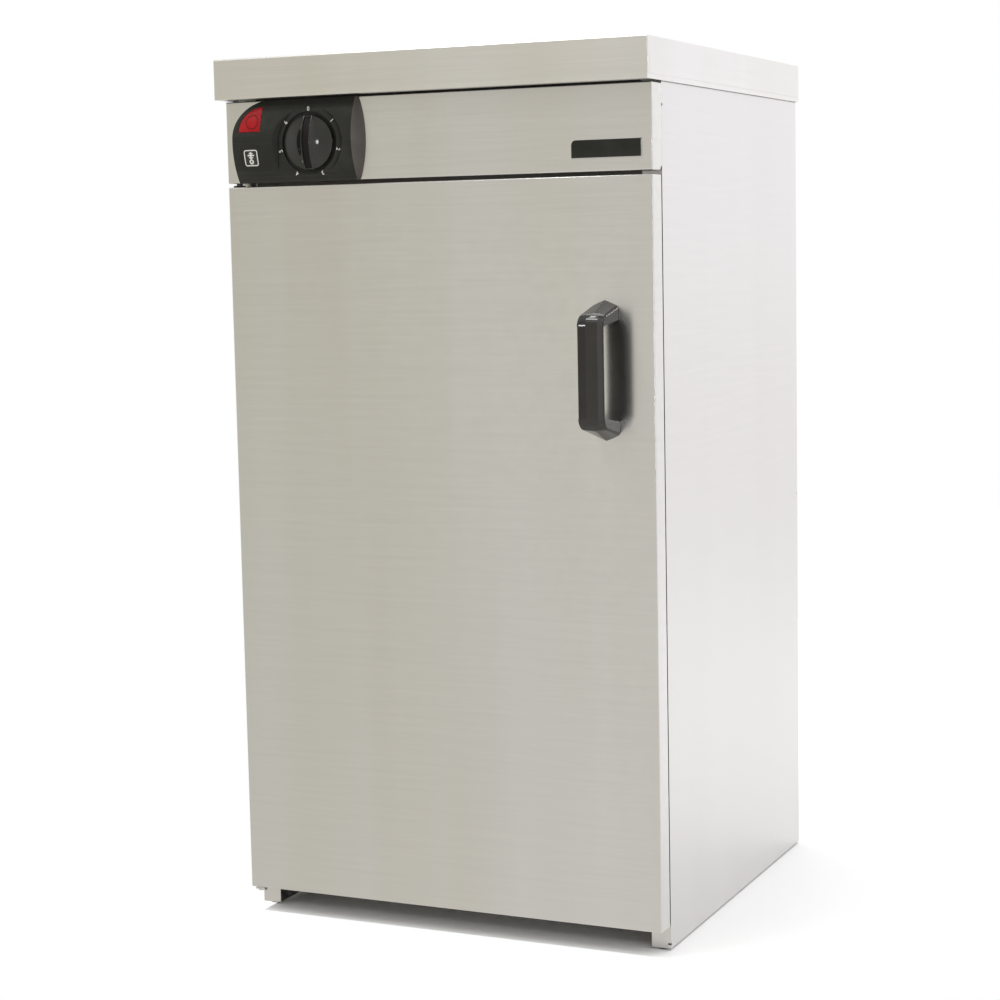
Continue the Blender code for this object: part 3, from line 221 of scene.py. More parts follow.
def dress(item, material, body, *replaced, slot=None):
    # the piece gets its finish, its body and the CAD nodes that it stands for
    item.data.materials.clear()
    item.data.materials.append(material)
    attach(item, body)
    if replaced:
        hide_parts(*replaced)
    return item


def finishFaces(item, material, test):
    # a second finish, on the faces that the test picks
    item.data.materials.append(material)
    startEdit(item, "FACE")
    pickFaces(item, test)
    item.active_material_index = 1
    bpy.ops.object.material_slot_assign()
    endEdit()


# helpers for shader nodes


def addNode(tree, kind, values=None, **settings):
    item = tree.nodes.new(kind)
    for key, value in settings.items():
        setattr(item, key, value)
    for key, value in (values or {}).items():
        if isinstance(value, bpy.types.NodeSocket):
            tree.links.new(value, item.inputs[key])
        else:
            item.inputs[key].default_value = value
    return item


def newGroup(name, takes, gives):
    # a vector and some numbers go in, other numbers come out
    tree = bpy.data.node_groups.new(name, "ShaderNodeTree")
    addSocket = tree.interface.new_socket
    addSocket(name="Vector", in_out="INPUT", socket_type="NodeSocketVector")
    for label in takes:
        addSocket(name=label, in_out="INPUT", socket_type="NodeSocketFloat")
    for label in gives:
        addSocket(name=label, in_out="OUTPUT", socket_type="NodeSocketFloat")
    entry = tree.nodes.new("NodeGroupInput")
    return tree, entry.outputs, tree.nodes.new("NodeGroupOutput").inputs


def addGroup(tree, group, **values):
    return addNode(tree, "ShaderNodeGroup", values, node_tree=group).outputs


def calc(tree, operation, first, second=0.0, clamp=False):
    item = addNode(tree, "ShaderNodeMath", {0: first, 1: second}, operation=operation)
    item.use_clamp = clamp
    return item.outputs[0]


def spread(tree, value, low, high, fromLow=0.0, fromHigh=1.0):
    span = {"From Min": fromLow, "From Max": fromHigh, "To Min": low, "To Max": high}
    return addNode(tree, "ShaderNodeMapRange", {"Value": value, **span}).outputs["Result"]


def blendNumbers(tree, amount, first, second):
    item = addNode(tree, "ShaderNodeMix", {0: amount, 2: first, 3: second}, data_type="FLOAT")
    return item.outputs[0]


def blendColour(tree, amount, first, second, mode="MIX"):
    item = addNode(tree, "ShaderNodeMix", data_type="RGBA", blend_type=mode)
    for index, value in ((0, amount), (6, first), (7, second)):
        if isinstance(value, bpy.types.NodeSocket):
            tree.links.new(value, item.inputs[index])
        elif index == 0:
            item.inputs[index].default_value = value
        else:
            item.inputs[index].default_value = (*value, 1)
    return item.outputs[2]


def axesOf(tree, value):
    return addNode(tree, "ShaderNodeSeparateXYZ", {0: value}).outputs


def vectorOf(tree, x, y, z):
    return addNode(tree, "ShaderNodeCombineXYZ", {0: x, 1: y, 2: z}).outputs[0]


def noise(tree, where, scale, detail, rough=0.5, distortion=0.0):
    item = addNode(tree, "ShaderNodeTexNoise", {"Vector": where, "Scale": scale, "Detail": detail})
    item.inputs["Roughness"].default_value = rough
    item.inputs["Distortion"].default_value = distortion
    return item.outputs[0]


def mapped(tree, where, **settings):
    # moves, turns or stretches a pattern
    values = {key.capitalize(): value for key, value in settings.items()}
    return addNode(tree, "ShaderNodeMapping", {"Vector": where, **values}).outputs[0]


# surface effects that several finishes share

grainPattern = {
    "along": 9.0,
    "across": 1500.0,
    "widePitch": 0.16,  # the wide lines, against the fine ones
    "facesUp": (0.6, 0.8),
    "fineShare": 0.6,
    "wideShare": 0.4,
    "contrast": (0.32, 0.68),
}


def makeBrushedGrain():
    # fine scratches that run level on upright sheet; across them the pattern changes along Z
    look = grainPattern
    tree, takes, gives = newGroup("brushedGrain", ("Fineness", "Length"), ("Height", "Shade"))
    parts = axesOf(tree, takes["Vector"])
    facing = axesOf(tree, addNode(tree, "ShaderNodeNewGeometry").outputs["Normal"])
    level = spread(tree, calc(tree, "ABSOLUTE", facing[2]), 0.0, 1.0, *look["facesUp"])
    along = calc(tree, "MULTIPLY", takes["Length"], look["along"])
    across = calc(tree, "MULTIPLY", takes["Fineness"], look["across"])
    x = calc(tree, "MULTIPLY", parts[0], along)
    y = calc(tree, "MULTIPLY", parts[1], along)
    z = calc(tree, "MULTIPLY", blendNumbers(tree, level, parts[2], parts[1]), across)
    wideZ = calc(tree, "MULTIPLY", z, look["widePitch"])
    fine = noise(tree, vectorOf(tree, x, y, z), 1.0, 3.0, rough=0.6)
    wide = noise(tree, vectorOf(tree, x, y, wideZ), 1.0, 2.0)
    fineHeight = calc(tree, "MULTIPLY", fine, look["fineShare"])
    wideHeight = calc(tree, "MULTIPLY", wide, look["wideShare"])
    height = calc(tree, "ADD", fineHeight, wideHeight)
    tree.links.new(height, gives["Height"])
    tree.links.new(spread(tree, height, 0.0, 1.0, *look["contrast"]), gives["Shade"])
    return tree


bandPattern = {"upright": 0.07, "detail": 2.0, "rough": 0.45, "contrast": (0.3, 0.7)}


def makeToneBands():
    # broad upright bands of warmer and cooler tone: painted reflection, standing in for the soft
    # upright bands that the brushed sheet mirrors
    look = bandPattern
    tree, takes, gives = newGroup("reflectionToneBands", ("Scale",), ("Band",))
    parts = axesOf(tree, takes["Vector"])
    drawnOut = calc(tree, "MULTIPLY", parts[2], look["upright"])
    where = vectorOf(tree, parts[0], parts[1], drawnOut)
    band = noise(tree, where, takes["Scale"], look["detail"], rough=look["rough"])
    tree.links.new(spread(tree, band, 0.0, 1.0, *look["contrast"]), gives["Band"])
    return tree


smudgePattern = {"detail": 5.0, "rough": 0.62, "distortion": 0.7, "contrast": (0.48, 0.72)}


def makeSmudges():
    # soft patches left by hands and wiping
    look = smudgePattern
    tree, takes, gives = newGroup("smudges", ("Scale", "Amount"), ("Mask",))
    rough, distortion = look["rough"], look["distortion"]
    soft = noise(tree, takes["Vector"], takes["Scale"], look["detail"], rough, distortion)
    spots = spread(tree, soft, 0.0, 1.0, *look["contrast"])
    tree.links.new(calc(tree, "MULTIPLY", spots, takes["Amount"], clamp=True), gives["Mask"])
    return tree


texturePattern = {"detail": 2.0, "broad": 60.0, "broadDetail": 3.0, "contrast": (0.3, 0.7)}


def makeMouldedTexture():
    # the fine spark texture of a moulded plastic face
    look = texturePattern
    tree, takes, gives = newGroup("mouldedTexture", ("Scale",), ("Height", "Mottle"))
    grain = noise(tree, takes["Vector"], takes["Scale"], look["detail"])
    broad = noise(tree, takes["Vector"], look["broad"], look["broadDetail"])
    tree.links.new(grain, gives["Height"])
    tree.links.new(spread(tree, broad, 0.0, 1.0, *look["contrast"]), gives["Mottle"])
    return tree


wearPattern = {"corners": (0.53, 0.64), "detail": 4.0, "least": 0.25, "contrast": (0.35, 0.6)}


def makeEdgeWear():
    # corners rub bright, broken up by a fine pattern; on the knob, with a high amount and a bright
    # tone, the bright corners are a painted highlight along its ridges
    look = wearPattern
    tree, takes, gives = newGroup("edgeWearAndHighlight", ("Amount", "Scale"), ("Mask",))
    shape = addNode(tree, "ShaderNodeNewGeometry")
    corners = spread(tree, shape.outputs["Pointiness"], 0.0, 1.0, *look["corners"])
    broken = noise(tree, takes["Vector"], takes["Scale"], look["detail"])
    patches = spread(tree, broken, look["least"], 1.0, *look["contrast"])
    worn = calc(tree, "MULTIPLY", corners, patches)
    tree.links.new(calc(tree, "MULTIPLY", worn, takes["Amount"], clamp=True), gives["Mask"])
    return tree


dustPattern = {
    "facesUp": (0.35, 1.0),
    "scale": 45.0,
    "detail": 6.0,
    "least": 0.2,
    "contrast": (0.35, 0.7),
}


def makeDust():
    # thin dust on what faces up
    look = dustPattern
    tree, takes, gives = newGroup("dust", ("Amount",), ("Mask",))
    up = axesOf(tree, addNode(tree, "ShaderNodeNewGeometry").outputs["Normal"])
    facing = spread(tree, up[2], 0.0, 1.0, *look["facesUp"])
    cloud = noise(tree, takes["Vector"], look["scale"], look["detail"])
    layer = spread(tree, cloud, look["least"], 1.0, *look["contrast"])
    settled = calc(tree, "MULTIPLY", facing, layer)
    tree.links.new(calc(tree, "MULTIPLY", settled, takes["Amount"], clamp=True), gives["Mask"])
    return tree


brushedGrain = makeBrushedGrain()
reflectionToneBands = makeToneBands()
smudges = makeSmudges()
mouldedTexture = makeMouldedTexture()
edgeWearAndHighlight = makeEdgeWear()
dust = makeDust()


def newMaterial(name):
    material = bpy.data.materials.new(name)
    material.use_nodes = True
    tree = material.node_tree
    shader = tree.nodes["Principled BSDF"]
    where = addNode(tree, "ShaderNodeTexCoord").outputs["Object"]
    return material, tree, shader, where


def addBump(tree, shader, height, strength, depth):
    values = {"Height": height, "Strength": strength, "Distance": depth}
    tree.links.new(addNode(tree, "ShaderNodeBump", values).outputs[0], shader.inputs["Normal"])


def steelFinish(name, look):
    material, tree, shader, where = newMaterial(name)
    turned = mapped(tree, where, rotation=look["turn"])
    fineness, length = look["fineness"], look["length"]
    grain = addGroup(tree, brushedGrain, Vector=turned, Fineness=fineness, Length=length)
    bands = addGroup(tree, reflectionToneBands, Vector=turned, Scale=look["bandScale"])
    marks = addGroup(tree, smudges, Vector=where, Scale=look["smudgeScale"], Amount=look["smudge"])
    wearAndHighlight = addGroup(tree, edgeWearAndHighlight, Vector=where, Amount=look["wearAndHighlight"], Scale=look["wearScale"])
    # warm and cool tones laid in upright bands: painted reflection
    tone = blendColour(tree, bands["Band"], look["warm"], look["cool"])
    shade = spread(tree, grain["Shade"], 1 - look["shade"], 1 + look["shade"])
    shadeColour = addNode(tree, "ShaderNodeCombineColor", {0: shade, 1: shade, 2: shade}).outputs[0]
    lined = blendColour(tree, 1.0, tone, shadeColour, mode="MULTIPLY")
    edged = blendColour(tree, wearAndHighlight["Mask"], lined, look["edge"])
    tree.links.new(edged, shader.inputs["Base Color"])
    rough, roughSpread = look["rough"], look["roughSpread"]
    grainRough = spread(tree, grain["Shade"], rough - roughSpread, rough + roughSpread)
    smudgeRough = calc(tree, "MULTIPLY", marks["Mask"], look["smudgeRough"])
    tree.links.new(calc(tree, "ADD", grainRough, smudgeRough), shader.inputs["Roughness"])
    shader.inputs["Metallic"].default_value = 1.0
    shader.inputs["Anisotropic"].default_value = look["stretch"]
    tree.links.new(vectorOf(tree, *look["lay"]), shader.inputs["Tangent"])
    addBump(tree, shader, grain["Height"], look["bump"], look["bumpDepth"])
    return material


steelLook = {
    "turn": (0, 0, 0),
    "fineness": 1.0,
    "length": 1.0,
    "bandScale": 13.0,
    "smudgeScale": 4.0,
    "smudge": 0.5,
    "smudgeRough": 0.02,
    "wearAndHighlight": 0.35,
    "wearScale": 90.0,
    "warm": (0.59, 0.58, 0.55),
    "cool": (0.62, 0.615, 0.61),
    "edge": (0.80, 0.79, 0.77),
    "shade": 0.025,
    "rough": 0.255,
    "roughSpread": 0.012,
    "stretch": 0.79,
    "lay": (0, 0, 1),
    "bump": 0.003,
    "bumpDepth": 0.05 * mm,
}
doorSteel = steelFinish("brushedDoorSteel", steelLook)
sideSteel = steelFinish(
    "brushedSideSteel",
    {
        **steelLook,
        "warm": (0.612, 0.60, 0.59),
        "cool": (0.628, 0.617, 0.607),
        "smudge": 0.3,
        "wearAndHighlight": 0.0,
    },
)
# the worktop's steel is a paler copy of the door's steel: painted light, for the worktop's brighter
# look
skirtSteel = steelFinish(
    "brushedWorktopSteel", {**steelLook, "warm": (0.63, 0.62, 0.585), "cool": (0.66, 0.65, 0.64)}
)
plainSteel = steelFinish(
    "plainSheetSteel",
    {
        **steelLook,
        "fineness": 0.5,
        "bandScale": 8.0,
        "warm": (0.58, 0.57, 0.54),
        "cool": (0.62, 0.61, 0.59),
        "shade": 0.02,
        "rough": 0.28,
        "stretch": 0.2,
        "bump": 0.06,
    },
)
# near-black steel for the front rails and the top hinge: painted shade, as they show only in the
# dark gaps round the door
gapShadeSteel = steelFinish(
    "frameSteelGapShade",
    {
        **steelLook,
        "fineness": 0.5,
        "warm": (0.105, 0.10, 0.092),
        "cool": (0.135, 0.13, 0.122),
        "edge": (0.3, 0.29, 0.27),
        "rough": 0.5,
        "stretch": 0.1,
        "bump": 0.06,
    },
)


wireLook = {
    "clean": (0.78, 0.79, 0.80),
    "dull": (0.66, 0.66, 0.65),
    "rough": (0.12, 0.3),
    "smudgeScale": 40.0,
    "smudge": 0.8,
}


def wireFinish(name, look):
    material, tree, shader, where = newMaterial(name)
    marks = addGroup(tree, smudges, Vector=where, Scale=look["smudgeScale"], Amount=look["smudge"])
    tone = blendColour(tree, marks["Mask"], look["clean"], look["dull"])
    tree.links.new(tone, shader.inputs["Base Color"])
    tree.links.new(spread(tree, marks["Mask"], *look["rough"]), shader.inputs["Roughness"])
    shader.inputs["Metallic"].default_value = 1.0
    return material


def castFinish(name, look):
    # mottled metal with rubbed corners
    material, tree, shader, where = newMaterial(name)
    scale = look["scale"]
    grain = addGroup(tree, mouldedTexture, Vector=where, Scale=scale * 8)
    marks = addGroup(tree, smudges, Vector=where, Scale=scale, Amount=look["smudge"])
    wearAndHighlight = addGroup(tree, edgeWearAndHighlight, Vector=where, Amount=look["wearAndHighlight"], Scale=scale * 2)
    tone = blendColour(tree, marks["Mask"], look["tone"], look["marked"])
    mottle = calc(tree, "MULTIPLY", grain["Mottle"], look["mottle"])
    mottled = blendColour(tree, mottle, tone, look["marked"])
    rubbedAndHighlit = blendColour(tree, wearAndHighlight["Mask"], mottled, look["edge"])
    tree.links.new(rubbedAndHighlit, shader.inputs["Base Color"])
    tree.links.new(spread(tree, marks["Mask"], *look["rough"]), shader.inputs["Roughness"])
    shader.inputs["Metallic"].default_value = look["metallic"]
    addBump(tree, shader, grain["Height"], look["bump"], look["bumpDepth"])
    return material


def plasticFinish(name, look):
    material, tree, shader, where = newMaterial(name)
    texture = addGroup(tree, mouldedTexture, Vector=where, Scale=look["grain"])
    marks = addGroup(tree, smudges, Vector=where, Scale=look["smudgeScale"], Amount=look["smudge"])
    wearAndHighlight = addGroup(tree, edgeWearAndHighlight, Vector=where, Amount=look["wearAndHighlight"], Scale=look["wearScale"])
    powder = addGroup(tree, dust, Vector=where, Amount=look["dust"])
    tone = blendColour(tree, texture["Mottle"], look["dark"], look["light"])
    rubbedAndHighlit = blendColour(tree, wearAndHighlight["Mask"], tone, look["edge"])
    dusty = blendColour(tree, powder["Mask"], rubbedAndHighlit, look["dustTone"])
    tree.links.new(dusty, shader.inputs["Base Color"])
    smudged = spread(tree, marks["Mask"], look["rough"], look["rough"] + look["smudgeRough"])
    dustRough = calc(tree, "MULTIPLY", powder["Mask"], look["dustRough"])
    tree.links.new(calc(tree, "ADD", smudged, dustRough, clamp=True), shader.inputs["Roughness"])
    shader.inputs["Specular IOR Level"].default_value = look["gloss"]
    addBump(tree, shader, texture["Height"], look["bump"], look["bumpDepth"])
    return material


plasticLook = {
    "grain": 1500.0,
    "smudgeScale": 30.0,
    "smudge": 0.7,
    "smudgeRough": 0.1,
    "wearAndHighlight": 0.25,
    "wearScale": 90.0,
    "dust": 0.08,
    "dustRough": 0.3,
    "dark": (0.010, 0.0105, 0.008),
    "light": (0.015, 0.0155, 0.012),
    "edge": (0.04, 0.04, 0.037),
    "dustTone": (0.12, 0.115, 0.1),
    "rough": 0.5,
    "gloss": 0.26,
    "bump": 0.25,
    "bumpDepth": 0.06 * mm,
}
blackPlastic = plasticFinish("texturedBlackPlastic", plasticLook)
glossPlastic = plasticFinish(
    "glossyBlackPlastic",
    {
        **plasticLook,
        "grain": 300.0,
        "bump": 0.02,
        "rough": 0.10,
        "smudgeRough": 0.08,
        "dust": 0.06,
        "gloss": 0.5,
    },
)
# full edge amount and a bright edge tone: painted highlights along the knob's ridges
knobPlastic = plasticFinish(
    "knobBlackPlastic",
    {
        **plasticLook,
        "grain": 300.0,
        "bump": 0.015,
        "rough": 0.08,
        "smudgeRough": 0.06,
        "wearAndHighlight": 1.0,
        "edge": (0.26, 0.25, 0.23),
        "dust": 0.03,
        "gloss": 0.5,
    },
)
# matt, and darker and browner than the knob: the darker colour is painted shade in the groove along
# the grip bar
grooveShadePlastic = plasticFinish(
    "knobGrooveMattShade",
    {
        **plasticLook,
        "dark": (0.006, 0.0045, 0.004),
        "light": (0.010, 0.008, 0.007),
        "rough": 0.55,
        "gloss": 0.15,
    },
)
handlePlastic = plasticFinish(
    "handleBlackPlastic",
    {
        **plasticLook,
        "grain": 200.0,
        "bump": 0.004,
        "rough": 0.055,
        "smudgeRough": 0.05,
        "wearAndHighlight": 0.3,
        "edge": (0.10, 0.098, 0.092),
        "dust": 0.03,
        "gloss": 0.5,
        "dark": (0.012, 0.0118, 0.010),
        "light": (0.018, 0.0175, 0.015),
    },
)
# lighter and brown: painted reflection on the moulding's end wall, which faces right
endReflectionPlastic = plasticFinish(
    "mouldingEndPaintedReflection",
    {
        **plasticLook,
        "dark": (0.062, 0.053, 0.047),
        "light": (0.078, 0.067, 0.06),
        "smudgeScale": 90.0,
        "rough": 0.3,
        "gloss": 0.5,
        "dust": 0.05,
    },
)
badgePlastic = plasticFinish(
    "badgeBlack", {**plasticLook, "grain": 700.0, "bump": 0.04, "rough": 0.22, "dust": 0.05}
)
nylonPlastic = plasticFinish(
    "nylonFoot",
    {**plasticLook, "dark": (0.03, 0.03, 0.03), "light": (0.05, 0.05, 0.048), "dust": 0.3},
)
gasketRubber = plasticFinish(
    "gasketRubber",
    {
        **plasticLook,
        "grain": 500.0,
        "dark": (0.02, 0.018, 0.016),
        "light": (0.032, 0.028, 0.025),
        "rough": 0.62,
        "gloss": 0.3,
        "bump": 0.35,
    },
)
palePlastic = plasticFinish(
    "palePlastic",
    {
        **plasticLook,
        "dark": (0.66, 0.64, 0.56),
        "light": (0.74, 0.72, 0.65),
        "edge": (0.8, 0.79, 0.74),
        "dustTone": (0.5, 0.48, 0.42),
        "rough": 0.45,
        "bump": 0.15,
    },
)
chromedWire = wireFinish("chromedWire", wireLook)

zincLook = {
    "tone": (0.56, 0.56, 0.55),
    "marked": (0.47, 0.47, 0.44),
    "edge": (0.75, 0.75, 0.74),
    "rough": (0.28, 0.42),
    "metallic": 1.0,
    "scale": 120.0,
    "smudge": 0.9,
    "wearAndHighlight": 0.6,
    "mottle": 0.4,
    "bump": 0.08,
    "bumpDepth": 0.05 * mm,
}
zincSteel = castFinish("zincPlatedSteel", zincLook)
copperMetal = castFinish(
    "copper",
    {
        **zincLook,
        "tone": (0.68, 0.38, 0.25),
        "marked": (0.45, 0.24, 0.16),
        "edge": (0.82, 0.55, 0.4),
        "rough": (0.25, 0.42),
    },
)
sheathMetal = castFinish(
    "elementSheath",
    {
        **zincLook,
        "tone": (0.16, 0.155, 0.14),
        "marked": (0.24, 0.2, 0.15),
        "edge": (0.35, 0.33, 0.3),
        "rough": (0.42, 0.6),
        "metallic": 0.8,
    },
)

woolLook = {
    "deep": (0.36, 0.31, 0.19),
    "pale": (0.56, 0.51, 0.36),
    "rough": 0.95,
    "fuzz": 0.3,
    "bump": 0.8,
    "bumpDepth": 1.5 * mm,
}


def woolFinish():
    look = woolLook
    material, tree, shader, where = newMaterial("mineralWool")
    stretched = mapped(tree, where, scale=(1, 1, 3))
    fibres = noise(tree, stretched, 260.0, 6.0, rough=0.7, distortion=2.5)
    tufts = noise(tree, where, 35.0, 3.0)
    lit = spread(tree, fibres, 0.0, 1.0, 0.35, 0.65)
    tree.links.new(blendColour(tree, lit, look["deep"], look["pale"]), shader.inputs["Base Color"])
    shader.inputs["Roughness"].default_value = look["rough"]
    shader.inputs["Sheen Weight"].default_value = look["fuzz"]
    addBump(tree, shader, calc(tree, "ADD", fibres, tufts), look["bump"], look["bumpDepth"])
    return material


mineralWool = woolFinish()

redLook = {
    "deep": (0.30, 0.007, 0.010),
    "bright": (0.38, 0.012, 0.016),
    "rough": (0.16, 0.26),
    "gloss": 0.15,
    "glow": 0.15,
    "glowReach": (0.004, 0.001, 0.001),
    "prisms": 700.0,
    "bump": 0.06,
    "bumpDepth": 0.2 * mm,
    "ringTone": (0.03, 0.006, 0.006),
    "ringMiddle": (-187.7 * mm, 799.7 * mm),
    "ringRadius": 6.6 * mm,
    "ringLine": 0.32 * mm,
    "ringStrength": 0.85,
}


def lensFinish():
    look = redLook
    material, tree, shader, where = newMaterial("redLens")
    prisms = addNode(tree, "ShaderNodeTexVoronoi", {"Vector": where, "Scale": look["prisms"]})
    cloud = noise(tree, where, 90.0, 3.0)
    lit = spread(tree, cloud, 0.0, 1.0, 0.35, 0.65)
    tone = blendColour(tree, lit, look["deep"], look["bright"])
    # the lamp's rim shows through as a dark ring
    x, z = look["ringMiddle"]
    moved = mapped(tree, where, location=(-x, 0, -z), scale=(1, 0, 1))
    reach = addNode(tree, "ShaderNodeVectorMath", {0: moved}, operation="LENGTH").outputs["Value"]
    off = calc(tree, "ABSOLUTE", calc(tree, "SUBTRACT", reach, look["ringRadius"]))
    ring = spread(tree, off, look["ringStrength"], 0.0, look["ringLine"], 2 * look["ringLine"])
    tree.links.new(blendColour(tree, ring, tone, look["ringTone"]), shader.inputs["Base Color"])
    tree.links.new(spread(tree, cloud, *look["rough"]), shader.inputs["Roughness"])
    shader.inputs["Specular IOR Level"].default_value = look["gloss"]
    shader.inputs["Subsurface Weight"].default_value = look["glow"]
    shader.inputs["Subsurface Radius"].default_value = look["glowReach"]
    addBump(tree, shader, prisms.outputs["Distance"], look["bump"], look["bumpDepth"])
    return material


redLens = lensFinish()


def printFinish(name, tone):
    # printed marks: thin ink with a little wear
    material, tree, shader, where = newMaterial(name)
    thin = noise(tree, where, 900.0, 3.0)
    faded = tuple(channel * 0.8 for channel in tone)
    ink = blendColour(tree, spread(tree, thin, 0.0, 1.0, 0.4, 0.65), tone, faded)
    tree.links.new(ink, shader.inputs["Base Color"])
    tree.links.new(spread(tree, thin, 0.4, 0.6), shader.inputs["Roughness"])
    addBump(tree, shader, thin, 0.05, 0.05 * mm)
    return material


whitePrint = printFinish("whitePrint", (0.72, 0.71, 0.68))
print("materials made")

finishes = {
    "brushed_steel": doorSteel,
    "plain_steel": plainSteel,
    "zinc_steel": zincSteel,
    "chrome_wire": chromedWire,
    "element_sheath": sheathMetal,
    "copper": copperMetal,
    "black_plastic": blackPlastic,
    "black_gloss_plastic": glossPlastic,
    "pale_plastic": palePlastic,
    "nylon": nylonPlastic,
    "red_lens": redLens,
    "gasket_rubber": gasketRubber,
    "mineral_wool": mineralWool,
}
slotOf = {part["node"]: part["material_slot"] for part in frame["record"]["subparts"]}
ownFinish = {
    "left_side_panel": sideSteel,
    "right_side_panel": sideSteel,
    # the rails and the top hinge show only in the gaps round the door; their near-black steel is
    # painted shade
    "lower_front_rail": gapShadeSteel,
    "middle_front_rail": gapShadeSteel,
    "upper_front_rail": gapShadeSteel,
    "hinge_bracket_top": gapShadeSteel,
    "hinge_pin_top": gapShadeSteel,
}


def finishOf(nodeName):
    return ownFinish.get(nodeName, finishes[slotOf[nodeName]])


for nodeName, node in nodes.items():
    node.data.materials.clear()
    node.data.materials.append(finishOf(nodeName))

# pieces that keep their CAD shape: a merged copy with its edges rounded


def softened(nodeName, width):
    clearSelection()
    source = nodes[nodeName]
    item = bpy.data.objects.new(nodeName + "Dressed", source.data.copy())
    item.data.name = item.name
    bpy.context.scene.collection.objects.link(item)
    clearNormals(item)
    startEdit(item, "VERT")
    bpy.ops.mesh.select_all(action="SELECT")
    bpy.ops.mesh.remove_doubles(threshold=0.02 * mm)
    bpy.ops.mesh.dissolve_limited(angle_limit=math.radians(1))
    endEdit()
    roundEdges(item, width)
    smooth(item, sheet=True)
    return dress(item, finishOf(nodeName), source["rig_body"], nodeName)


softEdges = {
    "left_side_panel": 0.4,
    "right_side_panel": 0.4,
    "back_panel": 0.3,
    "base_panel": 0.3,
    "lower_front_rail": 0.4,
    "middle_front_rail": 0.4,
    "upper_front_rail": 0.4,
    "chamber_liner": 0.25,
    "element_guard": 0.3,
    "element_support": 0.3,
    "terminal_block": 0.8,
    "thermostat_body": 0.8,
    "bulb_clip": 0.2,
    "catch_magnet": 0.5,
    "catch_striker": 0.2,
    "hinge_bracket_top": 0.3,
    "hinge_bracket_bottom": 0.3,
}
dressed = {}
for nodeName, width in softEdges.items():
    dressed[nodeName] = softened(nodeName, width * mm)
print("edges rounded on", len(softEdges), "pieces")

# small holes that the side sheet shows: y, z and radius of each
sideHoles = {
    "x": 225 * mm,
    "reach": 3 * mm,
    "holes": (
        (-180.2 * mm, 801 * mm, 1.3 * mm),
        (231.5 * mm, 396 * mm, 0.8 * mm),
        (-180.6 * mm, 6.5 * mm, 1.3 * mm),
    ),
}


def drillSide():
    side = dressed["right_side_panel"]
    x, reach = sideHoles["x"], sideHoles["reach"]
    for y, z, radius in sideHoles["holes"]:
        cutAway(side, addRod("sideHole", (x - reach, y, z), (x + reach, y, z), radius, 24))
    # the cuts leave the sheet's shading askew, so it is made anew
    clearNormals(side)
    smooth(side, sheet=True)


drillSide()

# folded sheet pieces


def foldedTray(name, low, high, openSide, look, flange=0.0):
    # a block opened on one side, its outer edges bent round, then given the sheet's thickness
    item = addBlock(name, low, high)
    side = Vector(openSide)
    startEdit(item, "FACE")
    pickFaces(item, lambda middle, normal: normal.dot(side) > 0.9)
    if flange:
        bpy.ops.mesh.inset(thickness=flange, use_even_offset=True)
    bpy.ops.mesh.delete(type="FACE")
    bpy.ops.mesh.select_mode(type="EDGE")
    near = min(low.dot(side), high.dot(side))
    pickEdges(item, lambda middle, way: abs(middle.dot(side) - near) < 0.01 * mm)
    bevelPicked(look["bend"], 4)
    pickEdges(item, lambda middle, way: abs(way.dot(side)) > 0.9)
    bevelPicked(look["corner"], 3)
    endEdit()
    sheet = look["sheet"]
    applyModifier(item, "sheet", "SOLIDIFY", thickness=sheet, offset=-1, use_even_offset=True)
    return item


def pressLine(item, point, normal, width, move, test):
    # a fine pressed line: three cuts close together, the middle one moved in
    point, way = Vector(point), Vector(normal)
    startEdit(item, "VERT")
    for shift in (-width / 2, 0, width / 2):
        cutThrough(point + way * shift, normal)
    bpy.ops.mesh.select_all(action="DESELECT")
    pickCorners(item, lambda place: abs((place - point).dot(way)) < 0.01 * mm and test(place))
    bpy.ops.transform.translate(value=move)
    endEdit()


def boxOf(nodeName):
    low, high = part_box(nodeName)
    return low.copy(), high.copy()


worktopLook = {
    "sheet": 1.2 * mm,
    "bend": 1.8 * mm,
    "corner": 0.9 * mm,
    "return": 13 * mm,
    "hem": 4.8 * mm,
    "seamIn": 4.0 * mm,
    "foldIn": 13 * mm,
    "line": 0.5 * mm,
    "press": 0.18 * mm,
    "returnEdge": 0.3 * mm,
}


def makeWorktop():
    look = worktopLook
    low, high = boxOf("worktop")
    top = foldedTray("worktopTop", low, high, (0, 0, -1), look)
    # the hem shows as a fine line along the side skirts, the corner laps as upright lines on them
    press, line = look["press"], look["line"]
    lines = [((0, 0, low.z + look["hem"]), (0, 0, 1))]
    lines += [((0, y, 0), (0, 1, 0)) for y in (low.y + look["seamIn"], high.y - look["foldIn"])]
    near = 0.1 * mm
    for point, normal in lines:
        pressLine(top, point, normal, line, (-press, 0, 0), lambda place: place.x > high.x - near)
        pressLine(top, point, normal, line, (press, 0, 0), lambda place: place.x < low.x + near)
    inner = low + Vector((1, 1, 0)) * look["sheet"]
    outer = (high.x - look["sheet"], inner.y + look["return"], low.z + look["sheet"])
    strip = addBlock("worktopReturn", inner, outer)
    roundEdges(strip, look["returnEdge"])
    joinTo(top, strip)
    smooth(top, 30, sheet=True)
    dress(top, skirtSteel, "cabinet", "worktop")


makeWorktop()

doorLook = {
    "sheet": 1.0 * mm,
    "bend": 1.6 * mm,
    "corner": 1.2 * mm,
    "flange": 20 * mm,
    "pivot": (-218.5 * mm, -194.55 * mm),
    "bushHole": 4.8 * mm,
    "screwHoles": ((176 * mm, 611.35 * mm), (176 * mm, 503.85 * mm)),
    "screwHole": 2.3 * mm,
}
drill = {"reach": 4 * mm, "front": -212 * mm, "behind": -201 * mm, "sides": 40}


def upright(name, place, level, radius):
    reach = drill["reach"]
    return addRod(name, (*place, level - reach), (*place, level + reach), radius, drill["sides"])


